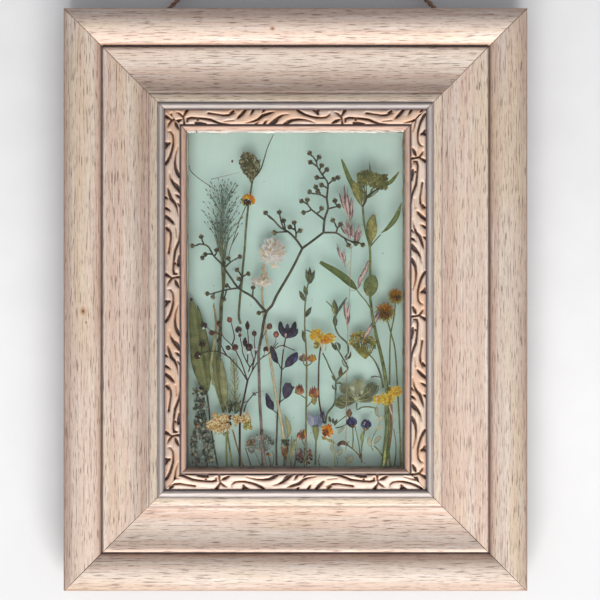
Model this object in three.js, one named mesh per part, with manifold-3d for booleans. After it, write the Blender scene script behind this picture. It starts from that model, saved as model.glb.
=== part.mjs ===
// Pressed flower frame. Millimetres, +Z up, the front faces -Y.
// The origin is where the nail holds the twine.
import * as THREE from 'three';
import { mergeVertices } from 'three/addons/utils/BufferGeometryUtils.js';
import Module from 'manifold-3d';

const wasm = await Module();
wasm.setup();

// Frame, seen from the front
const FRAME_W = 194.8;
const FRAME_H = 244.8;
const RAIL_W = 51.4;
const FRAME_TOP = -58;
const FRAME_SHIFT = -2.7;
const BACK_Y = -4;
const GAP = 0.3;
const SIGHT_W = FRAME_W - 2 * RAIL_W;
const SIGHT_H = FRAME_H - 2 * RAIL_W;

// Moulding section: distance from the outer edge, height above the back
const REBATE_W = 5;
const REBATE_H = 6;
const LIP_H = 15;
const LIP_MEMBER = [[50.6, 15.9], [49.6, 15.6], [49.1, 14.9]];
const CARVED_BAND = [[48.7, 15.5], [47.2, 16.1], [45.6, 16.2], [44, 16.1], [42.7, 15.5]];
const BEAD_MEMBER = [[42.4, 15.1], [42.1, 16.3], [41, 17.1], [40, 16.6], [39.7, 16.1]];
const COVE = [[37.4, 16.4], [34.6, 15.4], [30.6, 14.8], [26, 15.3], [21.6, 17], [17.2, 19.6]];
const OUTER_BAND = [[16.3, 17.6], [15.8, 18.8], [12.5, 20.1], [8.5, 20.3], [4.5, 19.1], [1.5, 16.7], [0, 13.6]];

// Carved running scroll
const SCROLL_PERIOD = 33.4;
const SCROLL_MID = 45.6;
const SCROLL_SWING = 1.1;
const SCROLL_HALF = 0.7;
const SCROLL_TOP = 16.6;
const SCROLL_FOOT = 15.4;
const SCROLL_STEPS = 6;

// Board, casting and its pocket
const BOARD_T = 3;
const BOARD_BACK = REBATE_H - GAP - BOARD_T;
const CAST_BACK = 6.3;
const CAST_FRONT = 14.4;
const POCKET_BACK = 7.3;
const POCKET_FRONT = 13.6;
const POCKET_WALL = 0.6;

// Fixings
const EYE_X = 83.7;
const EYE_Z = -86;
const WIRE_R = 0.6;
const RING_R = 2.8;
const SHANK_DEPTH = 7;
const TWINE_R = 1;
const NAIL_R = 1.25;
const BEND_R = 5;
const KNOT_R = 2.7;
const POINT_L = 9;
const POINT_W = 7;
const POINT_T = 0.5;

// Planting depths above the back of the frame, rear to front
const DEPTH = [7.9, 8.9, 9.9, 10.9, 11.9, 12.9];
const STEM_T = 0.6;
const LEAF_T = 0.4;
const PETAL_T = 0.5;
const BUD_T = 0.6;

// Finishes
const WOOD = { color: 0xd6c0b0, roughness: 0.7 };
const MINT = { color: 0xb4ccbe, roughness: 0.8 };
const RESIN = { color: 0xf2f5f0, roughness: 0.05, transparent: true, opacity: 0.25 };
const STEEL = { color: 0x8e8b86, roughness: 0.4, metalness: 1 };
const TWINE = { color: 0x64493d, roughness: 0.9 };
const DARK_STEM = { color: 0x2d2c20, roughness: 0.8 };
const BERRY = { color: 0x4b2119, roughness: 0.5 };
const OLIVE = { color: 0x5b5e34, roughness: 0.8 };
const GREEN = { color: 0x47582f, roughness: 0.8 };
const SAGE = { color: 0x79805e, roughness: 0.8 };
const STRAW = { color: 0xc9b183, roughness: 0.9 };
const ORANGE = { color: 0xdb7314, roughness: 0.8 };
const YELLOW = { color: 0xe0b02c, roughness: 0.8 };
const VIOLET = { color: 0x2c2858, roughness: 0.8 };
const BROWN = { color: 0x5a3d28, roughness: 0.8 };

function toSolid(geometry) {
  const bare = geometry.clone();
  bare.deleteAttribute('normal');
  bare.deleteAttribute('uv');
  const merged = mergeVertices(bare, 1e-5);
  return new wasm.Manifold(new wasm.Mesh({
    numProp: 3,
    vertProperties: new Float32Array(merged.attributes.position.array),
    triVerts: new Uint32Array(merged.index.array),
  }));
}

function toGeometry(solid) {
  const mesh = solid.getMesh();
  const geometry = new THREE.BufferGeometry();
  geometry.setAttribute('position', new THREE.BufferAttribute(mesh.vertProperties, 3));
  geometry.setIndex(new THREE.BufferAttribute(mesh.triVerts, 1));
  geometry.computeVertexNormals();
  return geometry;
}

function fuse(geometries) {
  return toGeometry(geometries.map(toSolid).reduce((all, one) => all.add(one)));
}

function cut(geometry, tools) {
  return toGeometry(tools.map(toSolid).reduce((all, one) => all.subtract(one), toSolid(geometry)));
}

function outlineShape(points) {
  return new THREE.Shape(points.map(([x, y]) => new THREE.Vector2(x, y)));
}

function slab(points, bottom, thickness) {
  const geometry = new THREE.ExtrudeGeometry(outlineShape(points), { depth: thickness, bevelEnabled: false });
  return geometry.translate(0, 0, bottom);
}

function block(width, height, bottom, thickness) {
  return slab([[0, 0], [width, 0], [width, height], [0, height]], bottom, thickness);
}

function mesh(name, geometry, finish) {
  const made = new THREE.Mesh(geometry, new THREE.MeshStandardMaterial(finish));
  made.name = name;
  return made;
}

// Mitred moulding with its carved scroll
function railSection() {
  return [
    [0, 0], [RAIL_W - REBATE_W, 0], [RAIL_W - REBATE_W, REBATE_H], [RAIL_W, REBATE_H], [RAIL_W, LIP_H],
    ...LIP_MEMBER, ...CARVED_BAND, ...BEAD_MEMBER, ...COVE, ...OUTER_BAND,
  ];
}

function mitredRail(length) {
  const geometry = slab(railSection(), 0, length);
  const position = geometry.attributes.position;
  const mitreGap = GAP * Math.SQRT1_2;
  for (let i = 0; i < position.count; i += 1) {
    const across = position.getX(i);
    const height = position.getY(i);
    const atStart = position.getZ(i) < length / 2;
    const along = atStart ? across + mitreGap : length - across - mitreGap;
    position.setXYZ(i, along, across, height);
  }
  return geometry;
}

function scroll(length) {
  const start = RAIL_W + 1;
  const run = length - 2 * start;
  const periods = Math.round(run / SCROLL_PERIOD);
  const count = periods * SCROLL_STEPS;
  const near = [];
  const far = [];
  for (let i = 0; i <= count; i += 1) {
    const x = start + (run * i) / count;
    const y = SCROLL_MID + SCROLL_SWING * Math.sin((2 * Math.PI * i) / SCROLL_STEPS);
    near.push([x, y - SCROLL_HALF]);
    far.push([x, y + SCROLL_HALF]);
  }
  return slab([...near, ...far.reverse()], SCROLL_FOOT, SCROLL_TOP - SCROLL_FOOT);
}

function rail(length) {
  return fuse([mitredRail(length), scroll(length)]);
}

function pilotHole(x, y) {
  const hole = new THREE.CylinderGeometry(WIRE_R + GAP, WIRE_R + GAP, 2 * SHANK_DEPTH + 2, 8);
  return hole.rotateX(Math.PI / 2).translate(x, y, 0);
}

// Clear casting
function castingBack() {
  const tray = block(SIGHT_W - 2 * GAP, SIGHT_H - 2 * GAP, CAST_BACK, POCKET_FRONT - CAST_BACK);
  const room = SIGHT_W - 2 * GAP - 2 * POCKET_WALL;
  const rise = SIGHT_H - 2 * GAP - 2 * POCKET_WALL;
  const pocket = block(room, rise, POCKET_BACK, CAST_FRONT).translate(POCKET_WALL, POCKET_WALL, 0);
  return cut(tray, [pocket]).translate(GAP, GAP, 0);
}

function castingFront() {
  const plateBack = POCKET_FRONT + GAP;
  const plate = block(SIGHT_W - 2 * GAP, SIGHT_H - 2 * GAP, plateBack, CAST_FRONT - plateBack);
  return plate.translate(GAP, GAP, 0);
}

function framersPoint() {
  return slab([[-POINT_W / 2, 0], [POINT_W / 2, 0], [0, POINT_L]], BOARD_BACK - GAP - POINT_T, POINT_T);
}

// Screw eye, its ring square to the twine's pull
function screwEye(pull) {
  const ring = new THREE.TorusGeometry(RING_R, WIRE_R, 5, 12).rotateY(Math.PI / 2).rotateY(-pull);
  const shank = new THREE.CylinderGeometry(WIRE_R, WIRE_R, SHANK_DEPTH, 6);
  shank.translate(0, -RING_R - SHANK_DEPTH / 2, 0);
  return fuse([ring, shank]);
}

function twineRoute() {
  const angle = Math.atan2(-EYE_Z, EYE_X);
  const behind = KNOT_R + 0.3;
  const foot = new THREE.Vector3(
    -EYE_X - behind * Math.cos(angle), 0, EYE_Z - behind * Math.sin(angle),
  );
  const top = NAIL_R + TWINE_R;
  const bendZ = top - BEND_R;
  const route = [foot];
  for (let i = 0; i <= 6; i += 1) {
    const around = Math.PI / 2 + angle * (1 - i / 3);
    route.push(new THREE.Vector3(BEND_R * Math.cos(around), 0, bendZ + BEND_R * Math.sin(around)));
  }
  route.push(new THREE.Vector3(-foot.x, 0, foot.z));
  return route;
}

function twine() {
  const path = new THREE.CurvePath();
  const route = twineRoute();
  for (let i = 1; i < route.length; i += 1) path.add(new THREE.LineCurve3(route[i - 1], route[i]));
  const section = [];
  for (let i = 0; i < 8; i += 1) {
    const turn = (2 * Math.PI * i) / 8;
    section.push([TWINE_R * Math.cos(turn), TWINE_R * Math.sin(turn)]);
  }
  const sweep = { steps: 36, extrudePath: path, bevelEnabled: false };
  return new THREE.ExtrudeGeometry(outlineShape(section), sweep);
}

function knot(side) {
  const lump = new THREE.SphereGeometry(KNOT_R, 8, 5).scale(1, 0.9, 1);
  const tail = new THREE.CylinderGeometry(TWINE_R * 0.8, TWINE_R, 7, 6).translate(0, -4, 0);
  return fuse([lump, tail.rotateZ(side * 0.4)]).rotateX(Math.PI / 2);
}

// Plant forms, drawn in the plane of the opening
function normalAt(points, i) {
  const before = points[Math.max(i - 1, 0)];
  const after = points[Math.min(i + 1, points.length - 1)];
  const length = Math.hypot(after[0] - before[0], after[1] - before[1]);
  return [-(after[1] - before[1]) / length, (after[0] - before[0]) / length];
}

function stem(layer, points, width, tipWidth = width, thickness = STEM_T) {
  const left = [];
  const right = [];
  points.forEach(([x, y], i) => {
    const [nx, ny] = normalAt(points, i);
    const half = (width + ((tipWidth - width) * i) / (points.length - 1)) / 2;
    left.push([x + nx * half, y + ny * half]);
    right.push([x - nx * half, y - ny * half]);
  });
  return slab([...left, ...right.reverse()], DEPTH[layer] - thickness / 2, thickness);
}

function leaf(layer, [x0, y0], [x1, y1], width, belly = 0.5, thickness = LEAF_T) {
  const [lengthX, lengthY] = [x1 - x0, y1 - y0];
  const length = Math.hypot(lengthX, lengthY);
  const at = (along, out) => [
    x0 + lengthX * along - (lengthY / length) * width * out,
    y0 + lengthY * along + (lengthX / length) * width * out,
  ];
  const upper = (belly + 1) / 2;
  const outline = [at(0, 0), at(belly, -0.5), at(upper, -0.36), at(1, 0), at(upper, 0.36), at(belly, 0.5)];
  return slab(outline, DEPTH[layer] - thickness / 2, thickness);
}

// A flower or tuft seen flat: blunt petals round a centre, or a fan of them
function star(layer, [x, y], inner, outer, count, from = 0, sweep = 2 * Math.PI) {
  const outline = [];
  const at = (radius, turn) => outline.push([x + radius * Math.cos(turn), y + radius * Math.sin(turn)]);
  for (let i = 0; i < count; i += 1) {
    const reach = outer * (1 - 0.12 * (i % 2));
    at(inner, from + (sweep * i) / count);
    at(reach, from + (sweep * (i + 0.35)) / count);
    at(reach, from + (sweep * (i + 0.65)) / count);
  }
  if (sweep < 2 * Math.PI) {
    at(inner, from + sweep);
    outline.push([x, y]);
  }
  return slab(outline, DEPTH[layer] - PETAL_T / 2, PETAL_T);
}

function head(layer, [x, y], wide, tall, deep) {
  return new THREE.SphereGeometry(1, 8, 5).scale(wide, tall, deep).translate(x, y, DEPTH[layer]);
}

// A twig that ends in a bud or berry
function twig(layer, path, width, budR) {
  const left = [];
  const right = [];
  const [endX, endY] = path[path.length - 1];
  const [nx, ny] = normalAt(path, path.length - 1);
  const neck = [endX - ny * budR, endY + nx * budR];
  [...path.slice(0, -1), neck].forEach(([x, y], i, all) => {
    const [sideX, sideY] = i === all.length - 1 ? [nx, ny] : normalAt(path, i);
    left.push([x + (sideX * width) / 2, y + (sideY * width) / 2]);
    right.push([x - (sideX * width) / 2, y - (sideY * width) / 2]);
  });
  const cup = [
    [endX + nx * budR, endY + ny * budR],
    [endX + ny * budR, endY - nx * budR],
    [endX - nx * budR, endY - ny * budR],
  ];
  return slab([...left, ...cup, ...right.reverse()], DEPTH[layer] - BUD_T / 2, BUD_T);
}

function twigs(layer, paths, width, budR) {
  return paths.map((path) => twig(layer, path, width, budR));
}

// Upper left: orange button flower and plume grass
function buttonFlower() {
  const layer = 3;
  return fuse([
    stem(layer, [[23, 60.7], [22.1, 64.9], [23.4, 78.4], [24.7, 92.7], [25.1, 99.8], [26.3, 111]], 1, 0.9),
    stem(layer, [[26.3, 112], [27.4, 115.8], [28, 121.2], [31, 126.3], [34.3, 135.1], [36.8, 140]], 0.9, 0.5),
    star(layer, [26.1, 112.8], 2.2, 3.5, 7),
    star(layer, [26.6, 126.3], 3.5, 5.6, 7),
    stem(layer, [[27.6, 118], [26.6, 126]], 0.7),
  ]);
}

function plumeGrass() {
  const layer = 1;
  const tips = [[9.5, 112], [10.6, 118.6], [12.6, 123], [15.4, 122], [18.4, 121], [21.4, 119.4], [22.8, 111]];
  return fuse([
    stem(layer, [
      [15.8, 24.6], [14.6, 30.9], [13.3, 41], [14.1, 62.4], [14.4, 70], [15.3, 75.4], [15, 88],
    ], 0.9, 0.6),
    ...tips.map((tip) => leaf(layer, [15, 84.5], tip, 3.4, 0.6)),
  ]);
}

// Dark branching spray, split at its main forks
function sprayStem() {
  const layer = 5;
  return fuse([
    stem(layer, [
      [33.2, 1.2], [32.6, 5.7], [31.8, 15], [31, 28.8], [30.5, 47.7], [31.8, 56.1], [32.6, 61.6],
      [34.1, 66.2], [38.5, 73.5], [43.1, 81.3], [45.7, 85.9], [48.5, 91.9],
    ], 1.2, 0.9),
  ]);
}

function sprayLeftLimb() {
  return fuse([
    stem(5, [
      [48.4, 92.8], [46.1, 96.4], [43.1, 99.4], [39.8, 101.2], [36.8, 104.4], [33.5, 107.4],
    ], 0.8, 0.6),
    ...twigs(5, [
      [[36.4, 104.8], [33.4, 107.6]],
      [[39.6, 101.2], [39.2, 107.4]],
      [[42.6, 99.6], [37.3, 98.8]],
      [[46.1, 96.4], [45.5, 103.2]],
      [[46.1, 99.4], [43.8, 101.8]],
    ], 0.6, 1.2),
  ]);
}

function sprayRightLimb() {
  return fuse([
    stem(5, [
      [49.1, 92.6], [52, 94.8], [57.8, 99.2], [58.3, 104.8], [59.6, 109.1], [59.2, 113.7], [59.6, 119.5],
    ], 0.9, 0.7),
    stem(5, [[59.6, 119], [58, 122.5], [56.3, 125], [54.8, 128.9], [53.4, 131]], 0.7, 0.5),
    stem(5, [[57.8, 99.2], [63.1, 99], [65.2, 97.7], [68.8, 95.7]], 0.7, 0.6),
    ...twigs(5, [
      [[54.8, 128.9], [52.2, 132.6]],
      [[55.1, 127.2], [52.2, 128.4]],
      [[56.3, 125], [57, 127.2]],
      [[58, 122.5], [59.4, 125.3]],
      [[59.6, 119.5], [63.4, 122.4]],
      [[59.2, 113.7], [52.4, 116.1]],
      [[59.6, 109.1], [64.1, 110.1], [63, 112]],
      [[58.3, 104.8], [54, 107.6], [51, 112.4]],
      [[57.4, 105.6], [56.5, 109.4]],
      [[63.1, 99], [63.8, 101.1], [61.9, 104.1]],
      [[66.6, 97], [71.2, 95.6]],
      [[68.8, 95.7], [74.1, 94.2]],
    ], 0.6, 1.2),
  ]);
}

function sprayLowLimb() {
  return fuse([
    stem(5, [
      [33.2, 66.4], [31.4, 68.3], [28, 72.1], [22.1, 75.8], [18.8, 80.2], [15, 85.9], [11.5, 89.6],
      [9.5, 93.1], [7.4, 94.2], [4.2, 94.2],
    ], 0.9, 0.6),
    ...twigs(5, [
      [[7.4, 94.2], [2.8, 93.5]],
      [[7.4, 94.2], [6.4, 97.3]],
      [[11.5, 89.6], [6.9, 88.9]],
      [[11.5, 89.6], [13, 92]],
      [[17.1, 82.6], [22.1, 88.6]],
      [[21.6, 76.2], [24.4, 81.8]],
      [[28, 72.1], [28.2, 76]],
      [[22.1, 75.8], [17.1, 75.1], [9.1, 73.3]],
      [[17.1, 75.1], [16.3, 71.2]],
      [[31.8, 67.9], [29.6, 65.2]],
    ], 0.6, 1.1),
  ]);
}

// Centre: bunny-tail grass and larkspur
function bunnyTail() {
  const layer = 3;
  return fuse([
    stem(layer, [
      [41, 12.4], [39.8, 20.4], [38.5, 28], [37.3, 35.3], [35.4, 47.7], [33.5, 57.4], [32.8, 62.6],
      [32, 71.2], [32.4, 79], [35, 88],
    ], 1.1, 0.8),
    head(layer, [36.2, 91.6], 6.1, 7.3, 1),
    head(layer, [31.4, 80.1], 5.4, 3.4, 0.8),
  ]);
}

function larkspur() {
  const layer = 2;
  return fuse([
    stem(layer, [
      [38.1, 1.2], [37.9, 7.8], [38.1, 14.1], [38.4, 23.1], [39.4, 28], [39.6, 35.3], [40.1, 42.3],
      [41.2, 51.5], [42.6, 57],
    ], 1, 0.8),
    star(layer, [42.2, 54.6], 4.2, 7, 5, 0.45, 2.7),
    leaf(layer, [39.9, 42.2], [35.8, 51.6], 2.4),
    leaf(layer, [39.8, 40.6], [46.9, 48.8], 2.8),
    leaf(layer, [38.4, 23.1], [33.6, 31.6], 3.6),
    leaf(layer, [39.4, 28], [44.6, 36.6], 3.8),
  ]);
}

// Berry sprig, split at its fork
function berryStem() {
  return fuse([
    stem(4, [
      [22.6, 1.2], [22.6, 10.3], [22.6, 17.9], [23, 23.8], [23.7, 26.7], [24.7, 31.5], [25.7, 36.4],
    ], 1, 0.8),
  ]);
}

function berryLeftLimb() {
  return fuse([
    stem(4, [[25.4, 37], [23, 41.8], [17.9, 46], [13.2, 49.4]], 0.6, 0.5),
    ...twigs(4, [
      [[13.8, 49], [4.7, 47.5]],
      [[13.2, 49.4], [7.9, 59.9]],
      [[11.6, 52.6], [10.8, 57]],
      [[17.9, 46], [17.7, 51]],
      [[22.8, 42], [21.7, 47.7], [18.8, 51.5], [14.4, 56.5], [14, 61]],
      [[16.6, 54], [18.1, 62.4]],
      [[21.4, 48], [20.7, 51]],
    ], 0.5, 1.4),
  ]);
}

function berryRightLimb() {
  return fuse([
    stem(4, [[26, 37.2], [26.4, 40.6], [24.5, 46], [23.7, 49.8], [22.6, 56.5]], 0.6, 0.5),
    ...twigs(4, [
      [[22.6, 56.5], [22.1, 58.6]],
      [[23.7, 49.8], [24.8, 53.6]],
      [[24.7, 53], [25.8, 60.3]],
      [[26.4, 40.6], [28.4, 44.5], [26.3, 51.3]],
      [[28.4, 44.5], [30.1, 50.2]],
      [[26.4, 40], [29.4, 43.3], [31.9, 46.5], [33.5, 49.8]],
      [[29.4, 43.3], [31.4, 50], [34.9, 59.7]],
      [[31.9, 46.5], [37.7, 55.9]],
    ], 0.5, 1.4),
  ]);
}

// Left edge leaves and sprigs
function broadLeaf() {
  return fuse([slab([
    [1.4, 69.1], [1.4, 60.7], [2, 45.2], [4.5, 36.8], [7, 32.6], [8.7, 32.6], [10.4, 37.6], [10.8, 43.9],
    [9.1, 50.2], [7.9, 58.6], [6.2, 64.9], [4.1, 71.2],
  ], DEPTH[1] - LEAF_T / 2, LEAF_T)]);
}

function bladeLeaf() {
  return fuse([stem(0, [
    [2.2, 70.4], [2.9, 64.5], [4.4, 56.1], [6.6, 49.8], [8, 46], [11.5, 37.2], [13, 32.2], [15.3, 22.9],
  ], 2, 1, LEAF_T)]);
}

function narrowLeaf() {
  return fuse([leaf(3, [11.2, 36.4], [11.6, 69.1], 2.6), leaf(3, [11.2, 37], [12.7, 60], 2.6)]);
}

function cypressSprig() {
  const layer = 3;
  const nodes = [[6.1, 7], [5.7, 12.5], [5.2, 18], [4.7, 23.5]];
  return fuse([
    stem(layer, [[6.4, 1.4], [5.6, 14], [4.3, 26], [5.2, 32.4]], 1.6, 0.9),
    ...nodes.map((node) => leaf(layer, node, [node[0] - 2.6, node[1] + 6.4], 2)),
    ...nodes.map((node) => leaf(layer, node, [node[0] + 3.2, node[1] + 6], 2)),
  ]);
}

// Lower row, left to right
function yarrowLeft() {
  return fuse([
    stem(4, [[16.9, 1.2], [16.5, 10], [13.4, 18]], 1, 0.8),
    star(4, [12.9, 19.6], 2.7, 4.4, 7),
  ]);
}

function yarrowRight() {
  return fuse([
    stem(2, [[24.2, 1.5], [21.6, 13], [22.8, 18]], 1.2, 0.8),
    star(2, [23.8, 19.8], 2.8, 4.5, 7),
  ]);
}

function greyUmbel() {
  return fuse([
    stem(1, [[30.5, 1.2], [31, 8], [31.6, 11]], 1.2, 0.8),
    star(1, [31.8, 11], 3.7, 6, 7, -0.2, 4.1),
  ]);
}

function thistleBud() {
  return fuse([
    stem(1, [[41.2, 1.4], [41.2, 5]], 1),
    head(1, [41.5, 7.2], 2, 3.2, 0.9),
    star(1, [41.5, 8.4], 2.7, 4.4, 5, 0.7, 2.2),
  ]);
}

function seedCluster() {
  return fuse([
    stem(2, [[46.5, 1.2], [46.5, 12.4]], 0.8, 0.6),
    ...twigs(2, [
      [[46.5, 2], [48.4, 3]],
      [[46.5, 3.4], [50.4, 5.4]],
      [[46.5, 2], [52, 3.4]],
      [[46.5, 5], [48.8, 7.2]],
    ], 0.6, 1.3),
  ]);
}

// Centre right: heath, marigold and curly branch
function heathStem() {
  const layer = 5;
  return fuse([
    stem(layer, [
      [50.1, 1.2], [50.4, 12.4], [50.6, 28.8], [50.6, 41.8], [50.4, 51.9], [49.9, 58.2], [49.9, 63.7],
      [50.1, 69.1], [50.6, 75.4], [51.8, 81],
    ], 0.8, 0.6),
    star(layer, [51.6, 79.6], 2.1, 3.8, 5, 0.5, 2.2),
    ...twigs(layer, [
      [[50.3, 71.6], [48.5, 73.4]],
      [[50, 65], [51.9, 66.4]],
      [[49.9, 55], [49.4, 57]],
      [[50.6, 32], [47.3, 33.4]],
      [[50.6, 29.4], [53.8, 31]],
      [[50.4, 13.6], [48.8, 15]],
      [[50.4, 46], [53.2, 47.4]],
    ], 0.6, 1.3),
    star(layer, [50.4, 46.2], 2.2, 4, 5, 1.2, 2.6),
  ]);
}

function marigold() {
  const layer = 4;
  return fuse([
    stem(layer, [[57.4, 18.7], [56.2, 26.7], [55.7, 37.2], [56.2, 41.8], [57, 49.4], [57.2, 53.6]], 1, 0.8),
    star(layer, [57.2, 53.4], 3.5, 5.7, 7, -0.2, 3.9),
    leaf(layer, [57, 53], [54.4, 50], 2.4),
  ]);
}

function curlyBranch() {
  const layer = 3;
  return fuse([
    stem(layer, [
      [58.7, 20.4], [59.1, 23.4], [61.9, 26.3], [62.7, 28.8], [62.9, 33], [63.1, 36.5], [64.8, 38.6],
      [67, 40.6], [68.1, 42.3], [66.4, 45.6], [63.6, 50.2], [62.7, 52.8],
    ], 1.2, 1),
    stem(layer, [
      [66.4, 45.2], [68.1, 48.6], [67.9, 52.3], [63.7, 56.1], [62.5, 60.9], [63.1, 64.3], [63.6, 66],
    ], 0.9, 0.8),
    stem(layer, [[63.1, 36.4], [61.4, 40.6], [59.3, 44.8]], 0.8, 0.6),
    leaf(layer, [63.4, 65], [58.8, 70.4], 1.8),
    leaf(layer, [63.4, 65], [67.8, 72], 2),
    leaf(layer, [63.2, 63], [62.5, 69.8], 1.8),
    twig(layer, [[64.9, 38.8], [64.8, 41.4]], 0.7, 1.5),
  ]);
}

function oatGrass() {
  const layer = 4;
  return fuse([
    stem(layer, [[67.1, 1.2], [67.5, 25], [67.9, 54.4], [68.4, 75], [68.8, 95.6], [68.6, 105]], 0.6, 0.5),
    leaf(layer, [68.6, 103.6], [64.8, 117.2], 2.6),
    leaf(layer, [68.6, 103.6], [69.4, 115], 2.2),
    leaf(layer, [68.7, 98], [65.2, 104.6], 2),
    leaf(layer, [68.8, 95], [73, 103.4], 2.4),
    leaf(layer, [68.6, 84], [64.2, 93.4], 2.2),
    leaf(layer, [68.4, 74.6], [67, 67.6], 1.8),
    stem(layer, [[68.8, 92], [71.3, 86.6]], 0.6),
    leaf(layer, [71.2, 87.6], [77, 75], 2.4),
  ]);
}

// Large green herb, split at its fork
function herbStem() {
  const layer = 5;
  return fuse([
    stem(layer, [[82.6, 1.4], [84.2, 9.1], [84.9, 17], [85, 25], [84.6, 33.2]], 1.8, 2.4),
    stem(layer, [
      [84.6, 33], [83.7, 39.7], [81.4, 50.2], [79.7, 57], [78, 66.6], [77.2, 74.2], [77.4, 90.6],
      [77, 94.3], [75.9, 98.1], [74.8, 103.6], [74.3, 109],
    ], 2, 1),
    stem(layer, [[78, 66.2], [75.8, 70], [71, 76.2]], 0.9, 0.8),
    leaf(layer, [71.4, 75.9], [56.4, 87], 3.6, 0.6),
    leaf(layer, [77.3, 88], [80.9, 106.6], 4.4),
  ]);
}

function herbTop() {
  return fuse([
    leaf(5, [74.8, 109.6], [65.3, 130], 5, 0.4),
    stem(5, [[74.5, 110], [76.3, 114.1], [80.1, 117.2], [84.5, 119.6], [89.3, 124]], 1, 0.5),
    leaf(5, [76.6, 114.4], [74.2, 122.6], 3.6, 0.6),
    leaf(5, [77.6, 115], [77.2, 128.8], 3.2, 0.55),
    leaf(5, [79.2, 116], [80.8, 124.4], 3.6, 0.6),
    leaf(5, [81, 117.4], [84.4, 123.4], 3, 0.6),
  ]);
}

function herbSideLeaf() {
  return fuse([
    stem(4, [[77.8, 93.5], [81.8, 98.3]], 0.8),
    leaf(4, [81.4, 97.8], [90.4, 112], 3, 0.4),
  ]);
}

function herbLowLeaf() {
  return fuse([leaf(3, [78.6, 71.4], [76.2, 81.6], 7, 0.5), stem(3, [[78.9, 68], [78.4, 73]], 0.8)]);
}

// Right edge and lower right
function fuzzyHeadUpper() {
  return fuse([
    stem(3, [[85.6, 37.6], [85.7, 50.2], [86.1, 57], [87.2, 62.4], [88.5, 70]], 0.9, 0.7),
    head(3, [88.4, 72.1], 2.6, 3.1, 1),
  ]);
}

function fuzzyHeadLower() {
  return fuse([
    stem(2, [
      [90.2, 20.4], [89.3, 26.7], [88.7, 37.6], [87.9, 50.2], [86.1, 57], [84.9, 61.6], [84, 64],
    ], 1, 0.7),
    head(2, [83.9, 64.9], 3.4, 3.6, 0.6),
  ]);
}

function yellowUmbel() {
  return fuse([
    stem(2, [[82.9, 34], [82, 38.1], [80.8, 41.8], [78.4, 46.5], [74.1, 51.9]], 1, 0.7),
    star(2, [74.2, 51.4], 3.7, 6, 8),
    stem(2, [[77.7, 38.3], [81.8, 38.8]], 0.6),
  ]);
}

function strawberryLeaf() {
  return fuse([
    stem(1, [[79.7, 25.5], [75.5, 25.2], [72.1, 26.6], [72.1, 29]], 0.8),
    leaf(1, [72.1, 27.6], [72.2, 38], 5.6, 0.6),
    leaf(1, [72.1, 27.4], [81.4, 34], 5.4, 0.6),
    leaf(1, [72.3, 27.6], [62.8, 30], 6.6, 0.6),
  ]);
}

function yellowFlower() {
  return fuse([
    stem(3, [[86.5, 22.5], [85.7, 25.9], [85.3, 29.6]], 0.9, 0.8),
    leaf(3, [86, 29], [79.6, 28.6], 3.4, 0.6),
    leaf(3, [85.4, 26.8], [84.6, 33.4], 4.4, 0.6),
    leaf(3, [84.8, 28.8], [91, 34.4], 4.6, 0.6),
  ]);
}

function vetchLeaves() {
  const layer = 3;
  return fuse([
    stem(layer, [[83, 3.4], [79.8, 9], [79.2, 14], [79.6, 20], [80.1, 25]], 0.7, 0.6),
    leaf(layer, [79.8, 22], [80.4, 27.4], 2.2),
    leaf(layer, [79.4, 19], [83.4, 22.4], 2.6),
    leaf(layer, [79.2, 16.4], [83.2, 18.2], 2.4),
    leaf(layer, [79.6, 9.4], [76.6, 14], 2.4),
    leaf(layer, [79.4, 9.4], [81.6, 14], 2.6),
  ]);
}

function violetLeft() {
  return fuse([
    stem(5, [[70.2, 8.4], [70.9, 16.6], [70, 18.6]], 0.7),
    star(5, [69.9, 19], 2.0, 3.2, 6),
  ]);
}

function violetRight() {
  return fuse([
    stem(2, [[74, 2.5], [73.8, 6.1], [74.1, 11.2], [75.4, 17.6]], 0.8, 0.7),
    star(2, [75.6, 18.2], 2.0, 3.2, 6),
    leaf(2, [74, 5], [71.6, 8.4], 1.8),
  ]);
}

function pod() {
  return fuse([
    stem(3, [[72.4, 6.2], [69, 9.2], [66.4, 9.6]], 0.7),
    head(3, [65.9, 9.5], 2.1, 1.3, 0.7),
  ]);
}

function orangeFlower() {
  return fuse([
    stem(5, [[62, 5.7], [61, 12.2], [59.8, 15.4]], 1.2, 0.8),
    star(5, [59.5, 15.8], 2.1, 3.4, 8),
  ]);
}

function bluePetals() {
  return fuse([
    stem(1, [[54.3, 1.5], [54.5, 11.2], [54.6, 20]], 0.9),
    head(1, [54.6, 14.8], 1.5, 2.7, 0.6),
    star(1, [54.6, 17.6], 2.9, 5.4, 5, 0.4, 2.4),
  ]);
}

function lanceLeaf() {
  return fuse([leaf(1, [41.6, 14.2], [42.6, 23.2], 2.8)]);
}

function featherSprig() {
  const layer = 1;
  return fuse([
    stem(layer, [[20.7, 25.9], [20.2, 36], [19.9, 46]], 0.6, 0.4),
    ...[[20.4, 31], [20.2, 37]].flatMap(([x, y]) => [
      leaf(layer, [x, y], [x - 1.8, y + 3], 0.8),
      leaf(layer, [x, y], [x + 2.4, y + 2.8], 0.9),
    ]),
  ]);
}

function forkedTwig() {
  return fuse([
    stem(0, [[24.4, 22], [27.4, 27.6], [30.1, 32.2]], 0.7, 0.5),
    stem(0, [[26.2, 25.2], [26.4, 31.4]], 0.6, 0.4),
    stem(0, [[24.4, 22], [19.4, 8.2], [18.8, 1.2]], 0.8, 0.8),
  ]);
}

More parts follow.
